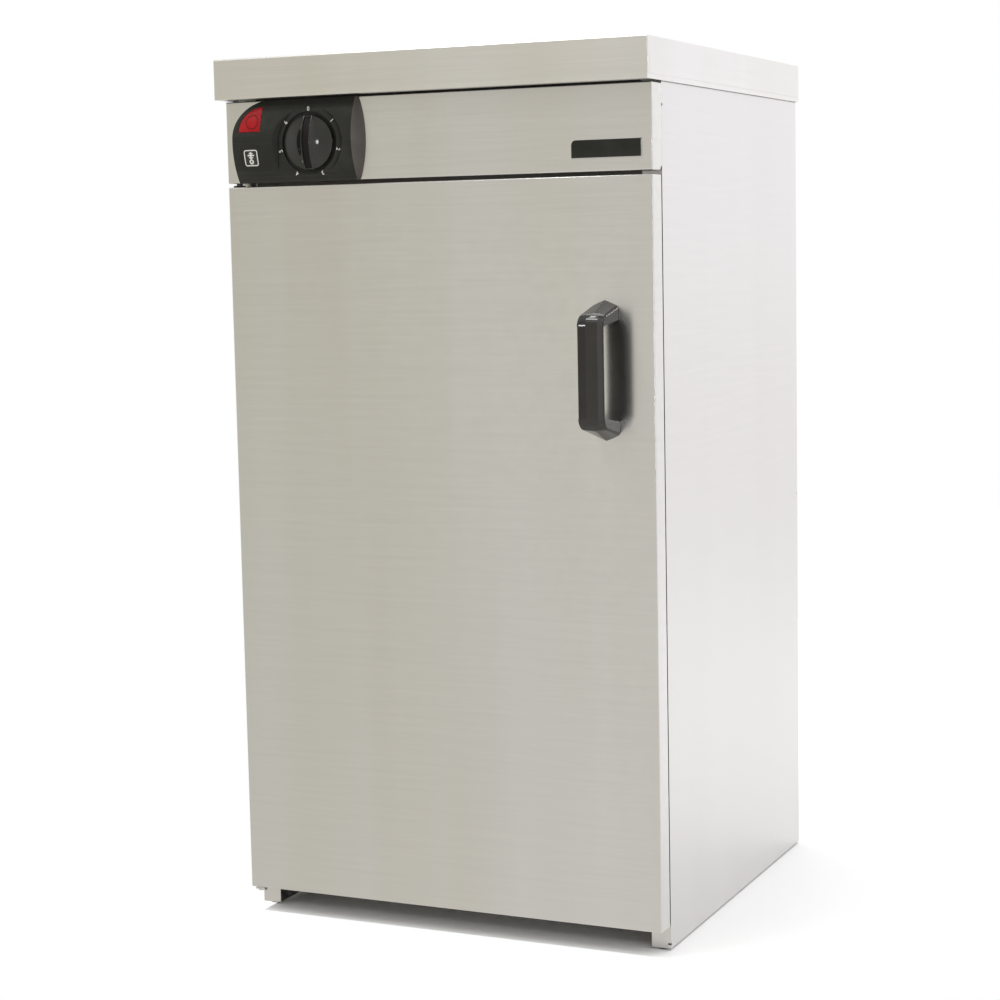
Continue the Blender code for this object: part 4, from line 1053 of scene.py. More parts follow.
def rodAlongY(name, place, start, end, radius, sides):
    x, z = place
    return addRod(name, (x, start, z), (x, end, z), radius, sides)


def throughFront(name, place, radius):
    return rodAlongY(name, place, drill["front"], drill["behind"], radius, drill["sides"])


def makeDoorSkin():
    look = doorLook
    low, high = boxOf("door_outer_panel")
    skin = foldedTray("doorSkin", low, high, (0, 1, 0), look, look["flange"])
    for level in (low.z, high.z):
        cutAway(skin, upright("bushHole", look["pivot"], level, look["bushHole"]))
    for place in look["screwHoles"]:
        cutAway(skin, throughFront("screwHole", place, look["screwHole"]))
    smooth(skin, sheet=True)
    dress(skin, doorSteel, "door", "door_outer_panel")


makeDoorSkin()

fasciaLook = {
    "pinHole": 3.3 * mm,
    "spindle": (-126.1 * mm, 777.9 * mm),
    "spindleHole": 3.3 * mm,
    "lamp": (-187.72 * mm, 799.72 * mm),
    "lampHole": 5.3 * mm,
    "relief": 4 * mm,
}


def makeFascia():
    look = fasciaLook
    low, high = boxOf("fascia_panel")
    fascia = foldedTray("fasciaSkin", low, high, (0, 1, 0), doorLook)
    cutAway(fascia, upright("pinHole", doorLook["pivot"], low.z, look["pinHole"]))
    cutAway(fascia, throughFront("spindleHole", look["spindle"], look["spindleHole"]))
    cutAway(fascia, throughFront("lampHole", look["lamp"], look["lampHole"]))
    # the side returns are cut back in a curve at their lower rear corners
    for x in (low.x, high.x):
        start, end = (x - 3 * mm, high.y, low.z), (x + 3 * mm, high.y, low.z)
        cutAway(fascia, addRod("returnRelief", start, end, look["relief"], 48))
    smooth(fascia, sheet=True)
    dress(fascia, doorSteel, "cabinet", "fascia_panel")


makeFascia()
print("folded sheet pieces made")


def addTurned(name, centre, steps, sides, turn=(90, 0, 0)):
    # a disc drawn out step by step: each step is a radius and its reach along the axis
    clearSelection()
    radius, reach = steps[0]
    bpy.ops.mesh.primitive_circle_add(
        vertices=sides, radius=radius, fill_type="NGON", location=(0, 0, reach)
    )
    item = nameIt(bpy.context.object, name)
    settle(item)
    startEdit(item, "FACE")
    bpy.ops.mesh.select_all(action="SELECT")
    for nextRadius, nextReach in steps[1:]:
        extrudeBy(0, 0, nextReach - reach)
        share = nextRadius / radius
        bpy.ops.transform.resize(value=(share, share, 1), center_override=(0, 0, nextReach))
        radius, reach = nextRadius, nextReach
    bpy.ops.mesh.select_all(action="SELECT")
    bpy.ops.mesh.normals_make_consistent(inside=False)
    endEdit()
    item.rotation_euler = [math.radians(angle) for angle in turn]
    item.location = centre
    settle(item)
    return item


def copyOf(item, name, shift=(0, 0, 0)):
    # a copy with its own mesh, moved in its mesh
    clearSelection()
    twin = item.copy()
    twin.data = item.data.copy()
    bpy.context.scene.collection.objects.link(twin)
    nameIt(twin, name)
    twin.location = shift
    settle(twin)
    return twin


def keepOnly(item, point, normal):
    # cuts the piece with a plane, drops what lies on the normal's side and closes the cut
    startEdit(item, "FACE")
    cutThrough(point, normal, use_fill=True, clear_outer=True)
    endEdit()
    return item


def roundCorner(item, test, radius, segments):
    startEdit(item, "EDGE")
    pickEdges(item, test)
    bevelPicked(radius, segments)
    endEdit()
    return item


# control moulding: a crowned body with the lens's window and the dial's well
housingLook = {
    "left": -209.3 * mm,
    "right": -77.5 * mm,
    "back": -206.35 * mm,
    "middle": 781.0 * mm,
    "halfHeight": 39.7 * mm,
    "sag": 12 * mm,
    "edge": 3 * mm,
    "cornerRadius": 36 * mm,
    "endSlope": 0.54,
    "wall": 2.5 * mm,
    "openPast": 0.2,  # the hollow reaches this share of the wall past the back
    "drawPast": 2 * mm,
    "round": 0.35 * mm,
    "sides": 420,
}
# how far the cutting shapes reach past the moulding
cutterReach = {"ahead": 30 * mm, "behind": 10 * mm, "right": 40 * mm, "left": 5 * mm}
dialLook = {
    "x": -126.1 * mm,
    "z": 777.9 * mm,
    "radius": 35.2 * mm,
    "depth": 9.5 * mm,
    "wellSlope": 0.65,
    "foot": 0.3 * mm,
    "groove": 0.45 * mm,
    "grooveDepth": 0.6 * mm,
    "spindleHole": 3.3 * mm,
    "pocket": (30.0 * mm, 3.2 * mm),
}
lensLook = {
    "x": -178.0 * mm,
    "z": 790.0 * mm,
    "radius": 24.3 * mm,
    "gap": 0.3 * mm,
    "round": 0.25 * mm,
}


def crownArc():
    # the crown's radius, and where its centre lies along Y
    look = housingLook
    half, sag = look["halfHeight"], look["sag"]
    radius = (half**2 + sag**2) / (2 * sag)
    return radius, look["back"] - look["edge"] - sag + radius


def crownedBody(name, left, right, inset=0.0):
    # a wide bar of round section: its front is the crown, and its end is drawn out to the fascia
    look = housingLook
    radius, middleY = crownArc()
    start, end = (left, middleY, look["middle"]), (right, middleY, look["middle"])
    item = addRod(name, start, end, radius - inset, look["sides"])
    startEdit(item, "FACE")
    pickFaces(item, lambda middle, normal: normal.x > 0.9)
    draw = look["edge"] + look["sag"] + look["drawPast"]
    extrudeBy(look["endSlope"] * draw, draw, 0)
    endEdit()
    return keepOnly(item, (0, look["back"] + inset * look["openPast"], 0), (0, 1, 0))


def housingOutline(name, inset=0.0):
    look, past = housingLook, cutterReach
    back, middle, half = look["back"], look["middle"], look["halfHeight"]
    low = (look["left"] + inset, back - past["ahead"], middle - half + inset)
    high = (look["right"] + past["right"], back + past["behind"], middle + half - inset)
    item = addBlock(name, low, high)

    def upperLeft(place, way):
        return abs(way.y) > 0.9 and place.x < look["left"] + 5 * mm and place.z > middle

    return roundCorner(item, upperLeft, look["cornerRadius"] - inset, 28)


def dialSolid(name, radius, start, end, startGrow=0.0, endGrow=0.0, foot=dialLook["foot"]):
    # round, with its lower left corner squared off; the grown ends make the well's sloping wall
    low = housingLook["middle"] - housingLook["halfHeight"] + foot
    x, z = dialLook["x"], dialLook["z"]
    steps = ((radius + startGrow, 0), (radius + endGrow, start - end))
    item = addTurned(name, (x, start, z), steps, sides=120)
    corner = addBlock(name + "Corner", (x - radius, end, low), (x, start, z))

    def frontLeft(middle, way):
        return abs(way.z) > 0.9 and middle.x < x - mm and middle.y < (start + end) / 2

    startEdit(corner, "EDGE")
    pickEdges(corner, frontLeft)
    bpy.ops.transform.translate(value=(-endGrow, 0, 0))
    endEdit()
    combine(item, corner, "UNION")
    return item


def quarterOutline(name, gap):
    look, back = lensLook, housingLook["back"]
    x, z = look["x"] - gap, look["z"] + gap
    start, end = back - cutterReach["ahead"], back + cutterReach["behind"]
    item = rodAlongY(name, (x, z), start, end, look["radius"] - 2 * gap, 96)
    keepOnly(item, (x, 0, z), (1, 0, 0))
    return keepOnly(item, (x, 0, z), (0, 0, -1))


def makeHousing():
    look, dial = housingLook, dialLook
    back, wall, left = look["back"], look["wall"], look["left"] - cutterReach["left"]
    radius, middle, face = dial["radius"], (dial["x"], dial["z"]), back - dial["depth"]
    housing = crownedBody("controlMoulding", left, look["right"])
    combine(housing, housingOutline("mouldingOutline"), "INTERSECT")
    hollow = crownedBody("mouldingHollow", left, look["right"] - wall, wall)
    combine(hollow, housingOutline("hollowOutline", wall), "INTERSECT")
    # the well keeps a wall round it; its shapes run on past the moulding's foot
    past, front = 5 * mm, back - 20 * mm
    growth = dial["depth"] * dial["wellSlope"]
    keep = dialSolid("hollowKeep", radius + growth + wall, back + past, front, foot=-past)
    cutAway(hollow, keep)
    cutAway(housing, hollow)
    well = dialSolid("dialWell", radius, face, face - dial["depth"], 0, growth, foot=-past)
    cutAway(housing, well)
    # a fine groove round the dial's floor
    ring = dialSolid("grooveOuter", radius - 0.02 * mm, face + dial["grooveDepth"], face - mm)
    cutAway(ring, dialSolid("grooveInner", radius - dial["groove"], face + 2 * mm, face - 3 * mm))
    cutAway(housing, ring)
    # the knob sits over a shallow round pocket
    reach, deep = dial["pocket"]
    cutAway(housing, rodAlongY("pocket", middle, face + deep, face - mm, reach, 120))
    hole = rodAlongY("spindleHole", middle, back + past, front, dial["spindleHole"], 48)
    cutAway(housing, hole, quarterOutline("lensWindow", 0))
    roundEdges(housing, look["round"], 2, 50)
    smooth(housing, 30)
    dress(housing, blackPlastic, "cabinet", "control_housing")
    # the end faces that turn to the right take the lighter brown finish: painted reflection
    end = look["right"] - 0.1 * mm
    finishFaces(housing, endReflectionPlastic, lambda place, normal: normal.x > 0.3 and place.x > end)


def makeLens():
    look, past = housingLook, cutterReach["left"]
    lens = crownedBody("pilotLensRed", look["left"] - past, look["right"])
    combine(lens, quarterOutline("lensOutline", lensLook["gap"]), "INTERSECT")
    cutAway(lens, crownedBody("lensBack", look["left"] - 2 * past, look["right"], look["wall"]))
    roundEdges(lens, lensLook["round"], 2, 50)
    smooth(lens, 30)
    dress(lens, redLens, "cabinet", "pilot_lens")


makeHousing()
makeLens()
print("control moulding and lens made")


def crownY(z):
    # the crown's surface at a height
    radius, middleY = crownArc()
    return middleY - math.sqrt(radius**2 - (z - housingLook["middle"]) ** 2)


def layOnCrown(item, lift):
    # a flat print follows the moulding's crown
    for corner in item.data.vertices:
        corner.co.y = crownY(corner.co.z) - lift + corner.co.y
    item.data.update()


signLook = {
    "x": -189.5 * mm,
    "z": 765.0 * mm,
    "width": 15.2 * mm,
    "height": 15.7 * mm,
    "corner": 2.4 * mm,
    "line": 1.05 * mm,
    "ink": 0.06 * mm,
    "groundIn": 0.4 * mm,
    "groundLift": 0.05 * mm,
    "signLift": 0.11 * mm,
    "slices": 0.8 * mm,
    # rise or drop from the middle, width, height, corner radius, and the bulb's line
    "stem": (1.6 * mm, 1.9 * mm, 8.4 * mm, 0.8 * mm),
    "bulb": (3.7 * mm, 4.9 * mm, 4.9 * mm, 2.4 * mm, 1.5 * mm),
    # level, reach and thickness of each pair of ticks
    "ticks": (
        (4.4 * mm, 1.4 * mm, 1.0 * mm),
        (2.5 * mm, 3.0 * mm, 1.4 * mm),
        (0.3 * mm, 1.7 * mm, 1.0 * mm),
    ),
    "tickStart": 0.7 * mm,
}
borderLook = {
    "shift": (-0.6 * mm, 0.2 * mm),
    "width": 21.5 * mm,
    "height": 24 * mm,
    "corner": 3.2 * mm,
    "line": 0.35 * mm,
    "thick": 0.12 * mm,
    "lift": 0.09 * mm,
}


def roundedPlate(name, middle, width, height, corner, thick):
    # a flat plate in the front plane, from y = 0 back to its thickness
    x, z = middle
    low = (x - width / 2, 0, z - height / 2)
    item = addBlock(name, low, (x + width / 2, thick, z + height / 2))
    return roundCorner(item, lambda middle, way: abs(way.y) > 0.9, corner, 8)


def plateRing(name, middle, width, height, corner, line, thick):
    ring = roundedPlate(name, middle, width, height, corner, thick)
    innerCorner = max(corner - line, 0.2 * mm)
    inside = roundedPlate(
        name + "Inside", middle, width - 2 * line, height - 2 * line, innerCorner, thick + 2 * mm
    )
    inside.location.y = -mm
    settle(inside)
    cutAway(ring, inside)
    return ring


def levelCuts(item, spacing):
    # level cuts through a flat print, so that it can follow a curve
    zs = [corner.co.z for corner in item.data.vertices]
    z = min(zs) + spacing
    startEdit(item, "FACE")
    while z < max(zs):
        cutThrough((0, 0, z), (0, 0, 1))
        z += spacing
    endEdit()


def printOnCrown(item, lift, material):
    levelCuts(item, signLook["slices"])
    layOnCrown(item, lift)
    dress(item, material, "cabinet")


def makeSign():
    look, ink = signLook, signLook["ink"]
    x, z = look["x"], look["z"]
    width, height, corner = look["width"], look["height"], look["corner"]
    groundIn = look["groundIn"]
    ground = roundedPlate("signGround", (x, z), width - groundIn, height - groundIn, corner, ink)
    ring = plateRing("signFrame", (x, z), width, height, corner, look["line"], ink)
    rise, *stem = look["stem"]
    drop, *bulb = look["bulb"]
    marks = [ring, roundedPlate("signStem", (x, z + rise), *stem, ink)]
    marks.append(plateRing("signBulb", (x, z - drop), *bulb, ink))
    for index, (level, reach, thick) in enumerate(look["ticks"]):
        for side in (-1, 1):
            middle = (x + side * (look["tickStart"] + reach / 2), z + level)
            tick = roundedPlate(f"signTick{index}{side}", middle, reach, thick, thick * 0.4, ink)
            marks.append(tick)
    sign = nameIt(joinTo(*marks), "heatSign")
    printOnCrown(ground, look["groundLift"], glossPlastic)
    printOnCrown(sign, look["signLift"], whitePrint)
    # a faint raised line runs round the sign
    look = borderLook
    middle = (x + look["shift"][0], z + look["shift"][1])
    sizes = (look[key] for key in ("width", "height", "corner", "line", "thick"))
    printOnCrown(plateRing("signBorder", middle, *sizes), look["lift"], blackPlastic)


makeSign()

dialMarks = {
    "ring": 32.4 * mm,
    "height": 4.2 * mm,
    "fontScale": 1.35,
    "thicken": 0.04 * mm,
    "ink": 0.05 * mm,
    "step": 360 / 7,
}


def makeDialMarks():
    # numbers 0 to 6 round the dial, 0 at the top
    face = housingLook["back"] - dialLook["depth"]
    marks = []
    for number in range(7):
        turn = math.radians(dialMarks["step"] * number)
        clearSelection()
        bpy.ops.object.text_add()
        digit = bpy.context.object
        digit.data.body = str(number)
        digit.data.size = dialMarks["height"] * dialMarks["fontScale"]
        digit.data.align_x = "CENTER"
        digit.data.align_y = "CENTER"
        digit.data.extrude = dialMarks["ink"] / 2
        digit.data.offset = dialMarks["thicken"]
        bpy.ops.object.convert(target="MESH")
        digit = nameIt(bpy.context.object, f"dialNumber{number}")
        startEdit(digit, "VERT")
        bpy.ops.mesh.select_all(action="SELECT")
        bpy.ops.mesh.remove_doubles(threshold=0.002 * mm)
        bpy.ops.mesh.normals_make_consistent(inside=False)
        endEdit()
        x = dialLook["x"] + dialMarks["ring"] * math.sin(turn)
        z = dialLook["z"] + dialMarks["ring"] * math.cos(turn)
        digit.rotation_euler = (math.radians(90), turn, 0)
        digit.location = (x, face - dialMarks["ink"], z)
        settle(digit)
        marks.append(digit)
    numbers = nameIt(joinTo(*marks), "dialNumbers")
    dress(numbers, whitePrint, "cabinet")


makeDialMarks()

# the knob: a shallow dome with an arched grip bar
knobLook = {
    "radius": 25.8 * mm,
    "back": -216.15 * mm,
    "rim": 0.9 * mm,
    "crest": -224.55 * mm,
    "barWidth": 9.4 * mm,
    "ridge": 0.9 * mm,
    "groove": 1.2 * mm,
    "foot": 14 * mm,
    "flank": (3.0 * mm, 3.2 * mm),
    "drop": 6.2 * mm,
    # how far inside the radius, and how far up
    "edgeSteps": (
        (0.2 * mm, 0),
        (0, 0.2 * mm),
        (0, 0.6 * mm),
        (0.1 * mm, 0.8 * mm),
        (0.4 * mm, 0.9 * mm),
    ),
    "dome": 2.9 * mm,
    "domeIn": 0.9 * mm,
    "domeTop": 2.0 * mm,
    "domeSteps": 12,
    "barBack": 0.6 * mm,
    "round": 0.4 * mm,
    "bore": 3.3 * mm,
    "boreDepth": 5.3 * mm,
}


def makeKnob():
    look = knobLook
    radius, rim, dome, back = look["radius"], look["rim"], look["dome"], look["back"]
    x, z = dialLook["x"], dialLook["z"]
    profile = [(radius - inset, up) for inset, up in look["edgeSteps"]]
    for index in range(look["domeSteps"] + 1):
        share = index / look["domeSteps"]
        reach = (radius - look["domeIn"]) * (1 - share) + look["domeTop"] * share
        profile.append((reach, rim + dome * math.sin(share * math.pi / 2)))
    knob = addTurned("knobDisc", (x, back, z), profile, sides=128)
    rise = back - look["crest"] - rim
    arch = (radius**2 + rise**2) / (2 * rise)
    half = look["barWidth"] / 2
    archY = look["crest"] + arch

    def disc(name, reach, size):
        return addRod(name, (x - reach, archY, z), (x + reach, archY, z), size, 256)

    # the bar's flanks sweep out to the disc
    step, fall = look["flank"]
    flanks = ((arch - look["drop"], -look["foot"]), (arch - fall, -half - step), (arch, -half))
    flanks += tuple((size, -reach) for size, reach in reversed(flanks))
    bar = addTurned("knobBar", (x, archY, z), flanks, 256, (0, 90, 0))
    groove = disc("knobGroove", half - look["ridge"], arch + 3 * mm)
    cutAway(groove, disc("knobGrooveFloor", half, arch - look["groove"]))
    cutAway(bar, groove)
    keepOnly(bar, (0, back - look["barBack"], 0), (0, 1, 0))
    roundEdges(bar, look["round"], 3, 40)
    bore = rodAlongY("knobBore", (x, z), back + 2 * mm, back - look["boreDepth"], look["bore"], 32)
    cutAway(knob, copyOf(bore, "discBore"))
    cutAway(bar, bore)
    nameIt(joinTo(knob, bar), "controlKnob")
    smooth(knob, 30)
    dress(knob, knobPlastic, "knob", "control_knob")
    inside = half - look["ridge"] + 0.05 * mm
    floorReach = arch - look["groove"] / 2

    def inGroove(place, normal):
        reach = math.hypot(place.y - archY, place.z - z)
        return abs(place.x - x) < inside and reach < floorReach and place.y < back - rim

    # the groove's floor takes the darker matt finish: painted shade
    finishFaces(knob, grooveShadePlastic, inGroove)


makeKnob()

badgeLook = {
    "low": (145.2 * mm, 753.7 * mm),
    "size": (69.5 * mm, 17 * mm),
    "corner": 5 * mm,
    "edge": 0.45 * mm,
    "round": 0.15 * mm,
    "backing": (-0.6 * mm, 0.0),
    "face": (-1.0 * mm, -0.55 * mm),
}


def makeBadge():
    # bare plate: a metal backing with a rounded corner, and a black face set in it
    look = badgeLook
    x, z = look["low"]
    width, height = look["size"]
    front = housingLook["back"]

    def upperLeft(middle, way):
        return abs(way.y) > 0.9 and middle.x < x + 5 * mm and middle.z > z + 5 * mm

    def plate(name, grow, layer):
        near, far = layer
        low = (x + grow / 3, front + near, z + grow / 2)
        item = addBlock(name, low, (x + width - grow, front + far, z + height - grow))
        roundCorner(item, upperLeft, look["corner"] - grow, 12)
        roundEdges(item, look["round"])
        smooth(item)
        return item

    dress(plate("badgeBacking", 0.0, look["backing"]), zincSteel, "cabinet", slot="zinc_steel")
    face = plate("badgeFace", look["edge"], look["face"])
    dress(face, badgePlastic, "cabinet", "badge_plate", slot="black_plastic")


makeBadge()
print("dial, knob, sign and badge made")

# wire shelves and their racks
shelfLook = {
    "sideX": 199.0 * mm,
    "front": -169.25 * mm,
    "back": 198.75 * mm,
    "levels": (95.1 * mm, 295.1 * mm, 495.1 * mm),
    "wire": 2.5 * mm,
    "rung": 1.8 * mm,
    "rungs": 11,
    "sides": 20,
    "endRound": 0.6,  # a share of the wire's radius
}


def roundWire(name, start, end, radius):
    item = addRod(name, start, end, radius, shelfLook["sides"])
    roundEdges(item, radius * shelfLook["endRound"], 3, 60)
    return item


def makeShelves():
    look = shelfLook
    z = look["levels"][0]
    wire, side, front, back = look["wire"], look["sideX"], look["front"], look["back"]
    bars = [
        roundWire(f"shelfSide{index}", (x, front, z), (x, back, z), wire)
        for index, x in enumerate((-side, side))
    ]
    first, last = front + wire, back - wire
    thick = roundWire("shelfCross", (-side, first, z + wire), (side, first, z + wire), wire)
    thin = roundWire("shelfRung", (-side, first, z + wire), (side, first, z + wire), look["rung"])
    bars += [thick, copyOf(thick, "shelfCrossBack", (0, last - first, 0))]
    pitch = (last - first) / (look["rungs"] - 1)
    for index in range(1, look["rungs"] - 1):
        bars.append(copyOf(thin, f"shelfRung{index}", (0, pitch * index, 0)))
    bpy.data.objects.remove(thin, do_unlink=True)
    lower = nameIt(joinTo(*bars), "wireShelfLower")
    smooth(lower)
    middle = copyOf(lower, "wireShelfMiddle", (0, 0, look["levels"][1] - z))
    upper = copyOf(lower, "wireShelfUpper", (0, 0, look["levels"][2] - z))
    dress(lower, chromedWire, "lower_shelf", "shelf_lower")
    dress(middle, chromedWire, "middle_shelf", "shelf_middle")
    dress(upper, chromedWire, "upper_shelf", "shelf_upper")


makeShelves()

rackLook = {
    "postX": 201.9 * mm,
    "post": 2.0 * mm,
    "postPlaces": (-121.4 * mm, 150.9 * mm),
    "low": 85.4 * mm,
    "high": 708.9 * mm,
    "runnerX": 198.0 * mm,
    "runner": 2.5 * mm,
    "runnerGap": 0.3 * mm,
}


def makeRacks():
    look, shelf = rackLook, shelfLook
    for name, side in (("left", -1), ("right", 1)):
        bars = []
        for index, y in enumerate(look["postPlaces"]):
            x = side * look["postX"]
            foot, top = (x, y, look["low"]), (x, y, look["high"])
            bars.append(roundWire(f"{name}Post{index}", foot, top, look["post"]))
        for index, level in enumerate(shelf["levels"]):
            x, z = side * look["runnerX"], level - 2 * shelf["wire"] - look["runnerGap"]
            start, end = (x, shelf["front"], z), (x, shelf["back"], z)
            bars.append(roundWire(f"{name}Runner{index}", start, end, look["runner"]))
        rack = nameIt(joinTo(*bars), name + "WireRack")
        smooth(rack)
        dress(rack, chromedWire, "cabinet", name + "_shelf_rack")


makeRacks()
print("shelves and racks made")

handleLook = {
    "flat": 11.6 * mm,
    "channel": 3.6 * mm,
    "frontHalf": 51.2 * mm,
    "shoulder": 63.2 * mm,
    "cheek": 59.8 * mm,
    "bar": 10.7 * mm,
    "grip": 42.4 * mm,
    "gripBase": 47.2 * mm,
    "taper": 0.7,
    "bend": 8.6 * mm,
    "side": 2.6 * mm,
    "edge": 0.7 * mm,
}


def scaleHeight(share, centre):
    bpy.ops.transform.resize(value=(1, 1, share), center_override=centre)


def makeHandle():
    # a bow with a channel down its front and gabled ends, its bar narrower towards the door
    look = handleLook
    low, high = boxOf("door_handle")
    centre = (low + high) / 2
    half = high.z - centre.z
    rear = low.y + look["bar"]
    handle = addBlock("bowHandle", low, high)
    startEdit(handle, "VERT")
    for shift in (-look["flat"] / 2, 0, look["flat"] / 2):
        cutThrough((centre.x + shift, 0, 0), (1, 0, 0))
    inside = look["flat"] / 2 + 0.1 * mm
    pickCorners(handle, lambda place: place.y < centre.y)
    scaleHeight(look["frontHalf"] / half, centre)
    pickCorners(handle, lambda place: place.y < centre.y and abs(place.x - centre.x) < inside)
    bpy.ops.transform.translate(value=(0, look["channel"], 0))
    pickCorners(handle, lambda place: place.y > centre.y and abs(place.x - centre.x) > inside)
    scaleHeight(look["cheek"] / half, centre)
    pickCorners(handle, lambda place: place.y > centre.y and mm < abs(place.x - centre.x) < inside)
    scaleHeight(look["shoulder"] / half, centre)
    endEdit()
    # the grip is a block cut away, wider where it opens towards the door
    grip = addBlock(
        "grip",
        (low.x - 2 * mm, rear, centre.z - look["grip"]),
        (high.x + 2 * mm, high.y + mm, centre.z + look["grip"]),
    )
    startEdit(grip, "FACE")
    pickFaces(grip, lambda middle, normal: normal.y > 0.9)
    scaleHeight(look["gripBase"] / look["grip"], centre)
    endEdit()
    cutAway(handle, grip)
    startEdit(handle, "VERT")
    for side in (-1, 1):
        cutThrough((0, 0, centre.z + side * look["grip"]), (0, 0, 1))
    near = 0.1 * mm
    pickCorners(handle, lambda place: abs(place.y - rear) < near)
    bpy.ops.transform.resize(value=(look["taper"], 1, 1), center_override=centre)
    bpy.ops.mesh.select_mode(type="EDGE")

    def atBend(place, way):
        fromMiddle = abs(place.z - centre.z)
        return abs(way.x) > 0.7 and fromMiddle > look["grip"] + 2 * mm and place.y < rear - 2 * mm

    def atSide(place, way):
        fromMiddle = abs(place.z - centre.z)
        onSide = abs(place.x - centre.x) > high.x - centre.x - near and place.y < high.y - near
        inFront = place.y < rear - 4 * mm or fromMiddle > look["gripBase"]
        acrossGrip = abs(way.y) > 0.99 and fromMiddle < look["grip"] + mm
        return onSide and inFront and not acrossGrip

    pickEdges(handle, atBend)
    bevelPicked(look["bend"], 10)
    pickEdges(handle, atSide)
    bevelPicked(look["side"], 5)
    endEdit()
    roundEdges(handle, look["edge"], 3, 20)
    smooth(handle, 22, sheet=True)
    dress(handle, handlePlastic, "door", "door_handle")


makeHandle()

gasketLook = {
    "width": 7 * mm,
    "lip": 1.1 * mm,
    "slope": 0.5 * mm,
    "floor": 0.7 * mm,
    "groove": 0.7 * mm,
    "ribShare": 0.9,
    "round": 0.3 * mm,
}


def frameRing(name, low, high, width):
    # a flat ring: a block inset on both faces, its middle taken out and the walls bridged
    ring = addBlock(name, low, high)
    startEdit(ring, "FACE")
    pickFaces(ring, lambda middle, normal: abs(normal.y) > 0.9)
    bpy.ops.mesh.inset(thickness=width, use_even_offset=True, use_individual=True)
    bpy.ops.mesh.delete(type="FACE")
    bpy.ops.mesh.select_mode(type="EDGE")
    mesh = bmesh.from_edit_mesh(ring.data)
    for edge in mesh.edges:
        edge.select_set(edge.is_boundary)
    bmesh.update_edit_mesh(ring.data)
    bpy.ops.mesh.bridge_edge_loops()
    endEdit()
    return ring


def makeGasket():
    # a hollow-section seal: two ribs with a groove between them
    look = gasketLook
    low, high = boxOf("door_gasket")
    ring = frameRing("doorSeal", low, high, look["width"])
    startEdit(ring, "FACE")
    pickFaces(ring, lambda middle, normal: normal.y > 0.9)
    bpy.ops.mesh.inset(thickness=look["lip"], use_even_offset=True, use_boundary=True)
    for thickness, depth in (
        (look["slope"], -look["groove"]),
        (look["floor"], 0),
        (look["slope"], look["groove"] * look["ribShare"]),
    ):
        bpy.ops.mesh.inset(thickness=thickness, depth=depth, use_even_offset=True)
    endEdit()
    roundEdges(ring, look["round"], 3, 30)
    smooth(ring)
    dress(ring, gasketRubber, "door", "door_gasket")


makeGasket()

innerLook = {
    "border": 13 * mm,
    "slope": 5 * mm,
    "press": 1.2 * mm,
    "round": 0.3 * mm,
    "rivet": 2.6 * mm,
    "rivetIn": 6 * mm,
    "rivetSteps": ((1, 0), (1, 0.25 * mm), (0.8, 0.6 * mm), (0.45, 0.8 * mm)),
    "rivetsAcross": 4,
    "rivetsUp": 6,
}


def makeInnerPanel():
    # the door's inner sheet: pressed towards the insulation inside a flat border, held by rivets
    look = innerLook
    low, high = boxOf("door_inner_panel")
    panel = addBlock("doorInnerSheet", low, high)
    startEdit(panel, "FACE")
    pickFaces(panel, lambda middle, normal: abs(normal.y) > 0.9)
    bpy.ops.mesh.inset(thickness=look["border"], use_even_offset=True, use_individual=True)
    bpy.ops.mesh.inset(thickness=look["slope"], use_even_offset=True, use_individual=True)
    bpy.ops.transform.translate(value=(0, -look["press"], 0))
    endEdit()
    roundEdges(panel, look["round"], 2, 8)
    smooth(panel, 20)
    dress(panel, plainSteel, "door", "door_inner_panel")
    head, inset = look["rivet"], look["rivetIn"]
    steps = [(head * share, up) for share, up in look["rivetSteps"]]
    corner = (low.x + inset, high.y, low.z + inset)
    first = addTurned("sheetRivet", corner, steps, 24, (-90, 0, 0))
    across, rise = high.x - low.x - 2 * inset, high.z - low.z - 2 * inset
    lastColumn, lastRow = look["rivetsAcross"] - 1, look["rivetsUp"] - 1
    rivets = [first]
    for column in range(lastColumn + 1):
        for row in range(lastRow + 1):
            inside = 0 < column < lastColumn and 0 < row < lastRow
            if inside or (column, row) == (0, 0):
                continue
            shift = (across * column / lastColumn, 0, rise * row / lastRow)
            rivets.append(copyOf(first, f"sheetRivet{column}{row}", shift))
    rivets = nameIt(joinTo(*rivets), "innerSheetRivets")
    smooth(rivets, 50)
    dress(rivets, zincSteel, "door", slot="zinc_steel")


makeInnerPanel()

screwLook = {
    "head": 3.8 * mm,
    "rise": 2.0 * mm,
    "shank": 1.8 * mm,
    "point": (0.5, 0.8 * mm),
    "underside": 0.02 * mm,
    "domeSteps": ((1, 0.35), (0.93, 0.68), (0.75, 0.92), (0.5, 1)),
    "cross": (0.9 * mm, 4.2 * mm, 1.1 * mm),
}


def crossHeadScrew(name, length):
    # pan head with a cross recess, its underside at the origin and its head facing +Y
    look = screwLook
    head, rise, shank = look["head"], look["rise"], look["shank"]
    pointShare, pointLength = look["point"]
    steps = [(shank * pointShare, -length), (shank, -length + pointLength), (shank, 0)]
    steps += [(head, look["underside"])]
    steps += [(head * wide, rise * up) for wide, up in look["domeSteps"]]
    screw = addTurned(name, (0, 0, 0), steps, 40, (-90, 0, 0))
    wide, long, deep = look["cross"]
    for width, height in ((wide, long), (long, wide)):
        low = (-width / 2, rise - deep, -height / 2)
        cutAway(screw, addBlock("slot", low, (width / 2, rise + mm, height / 2)))
    smooth(screw, 40)
    return screw


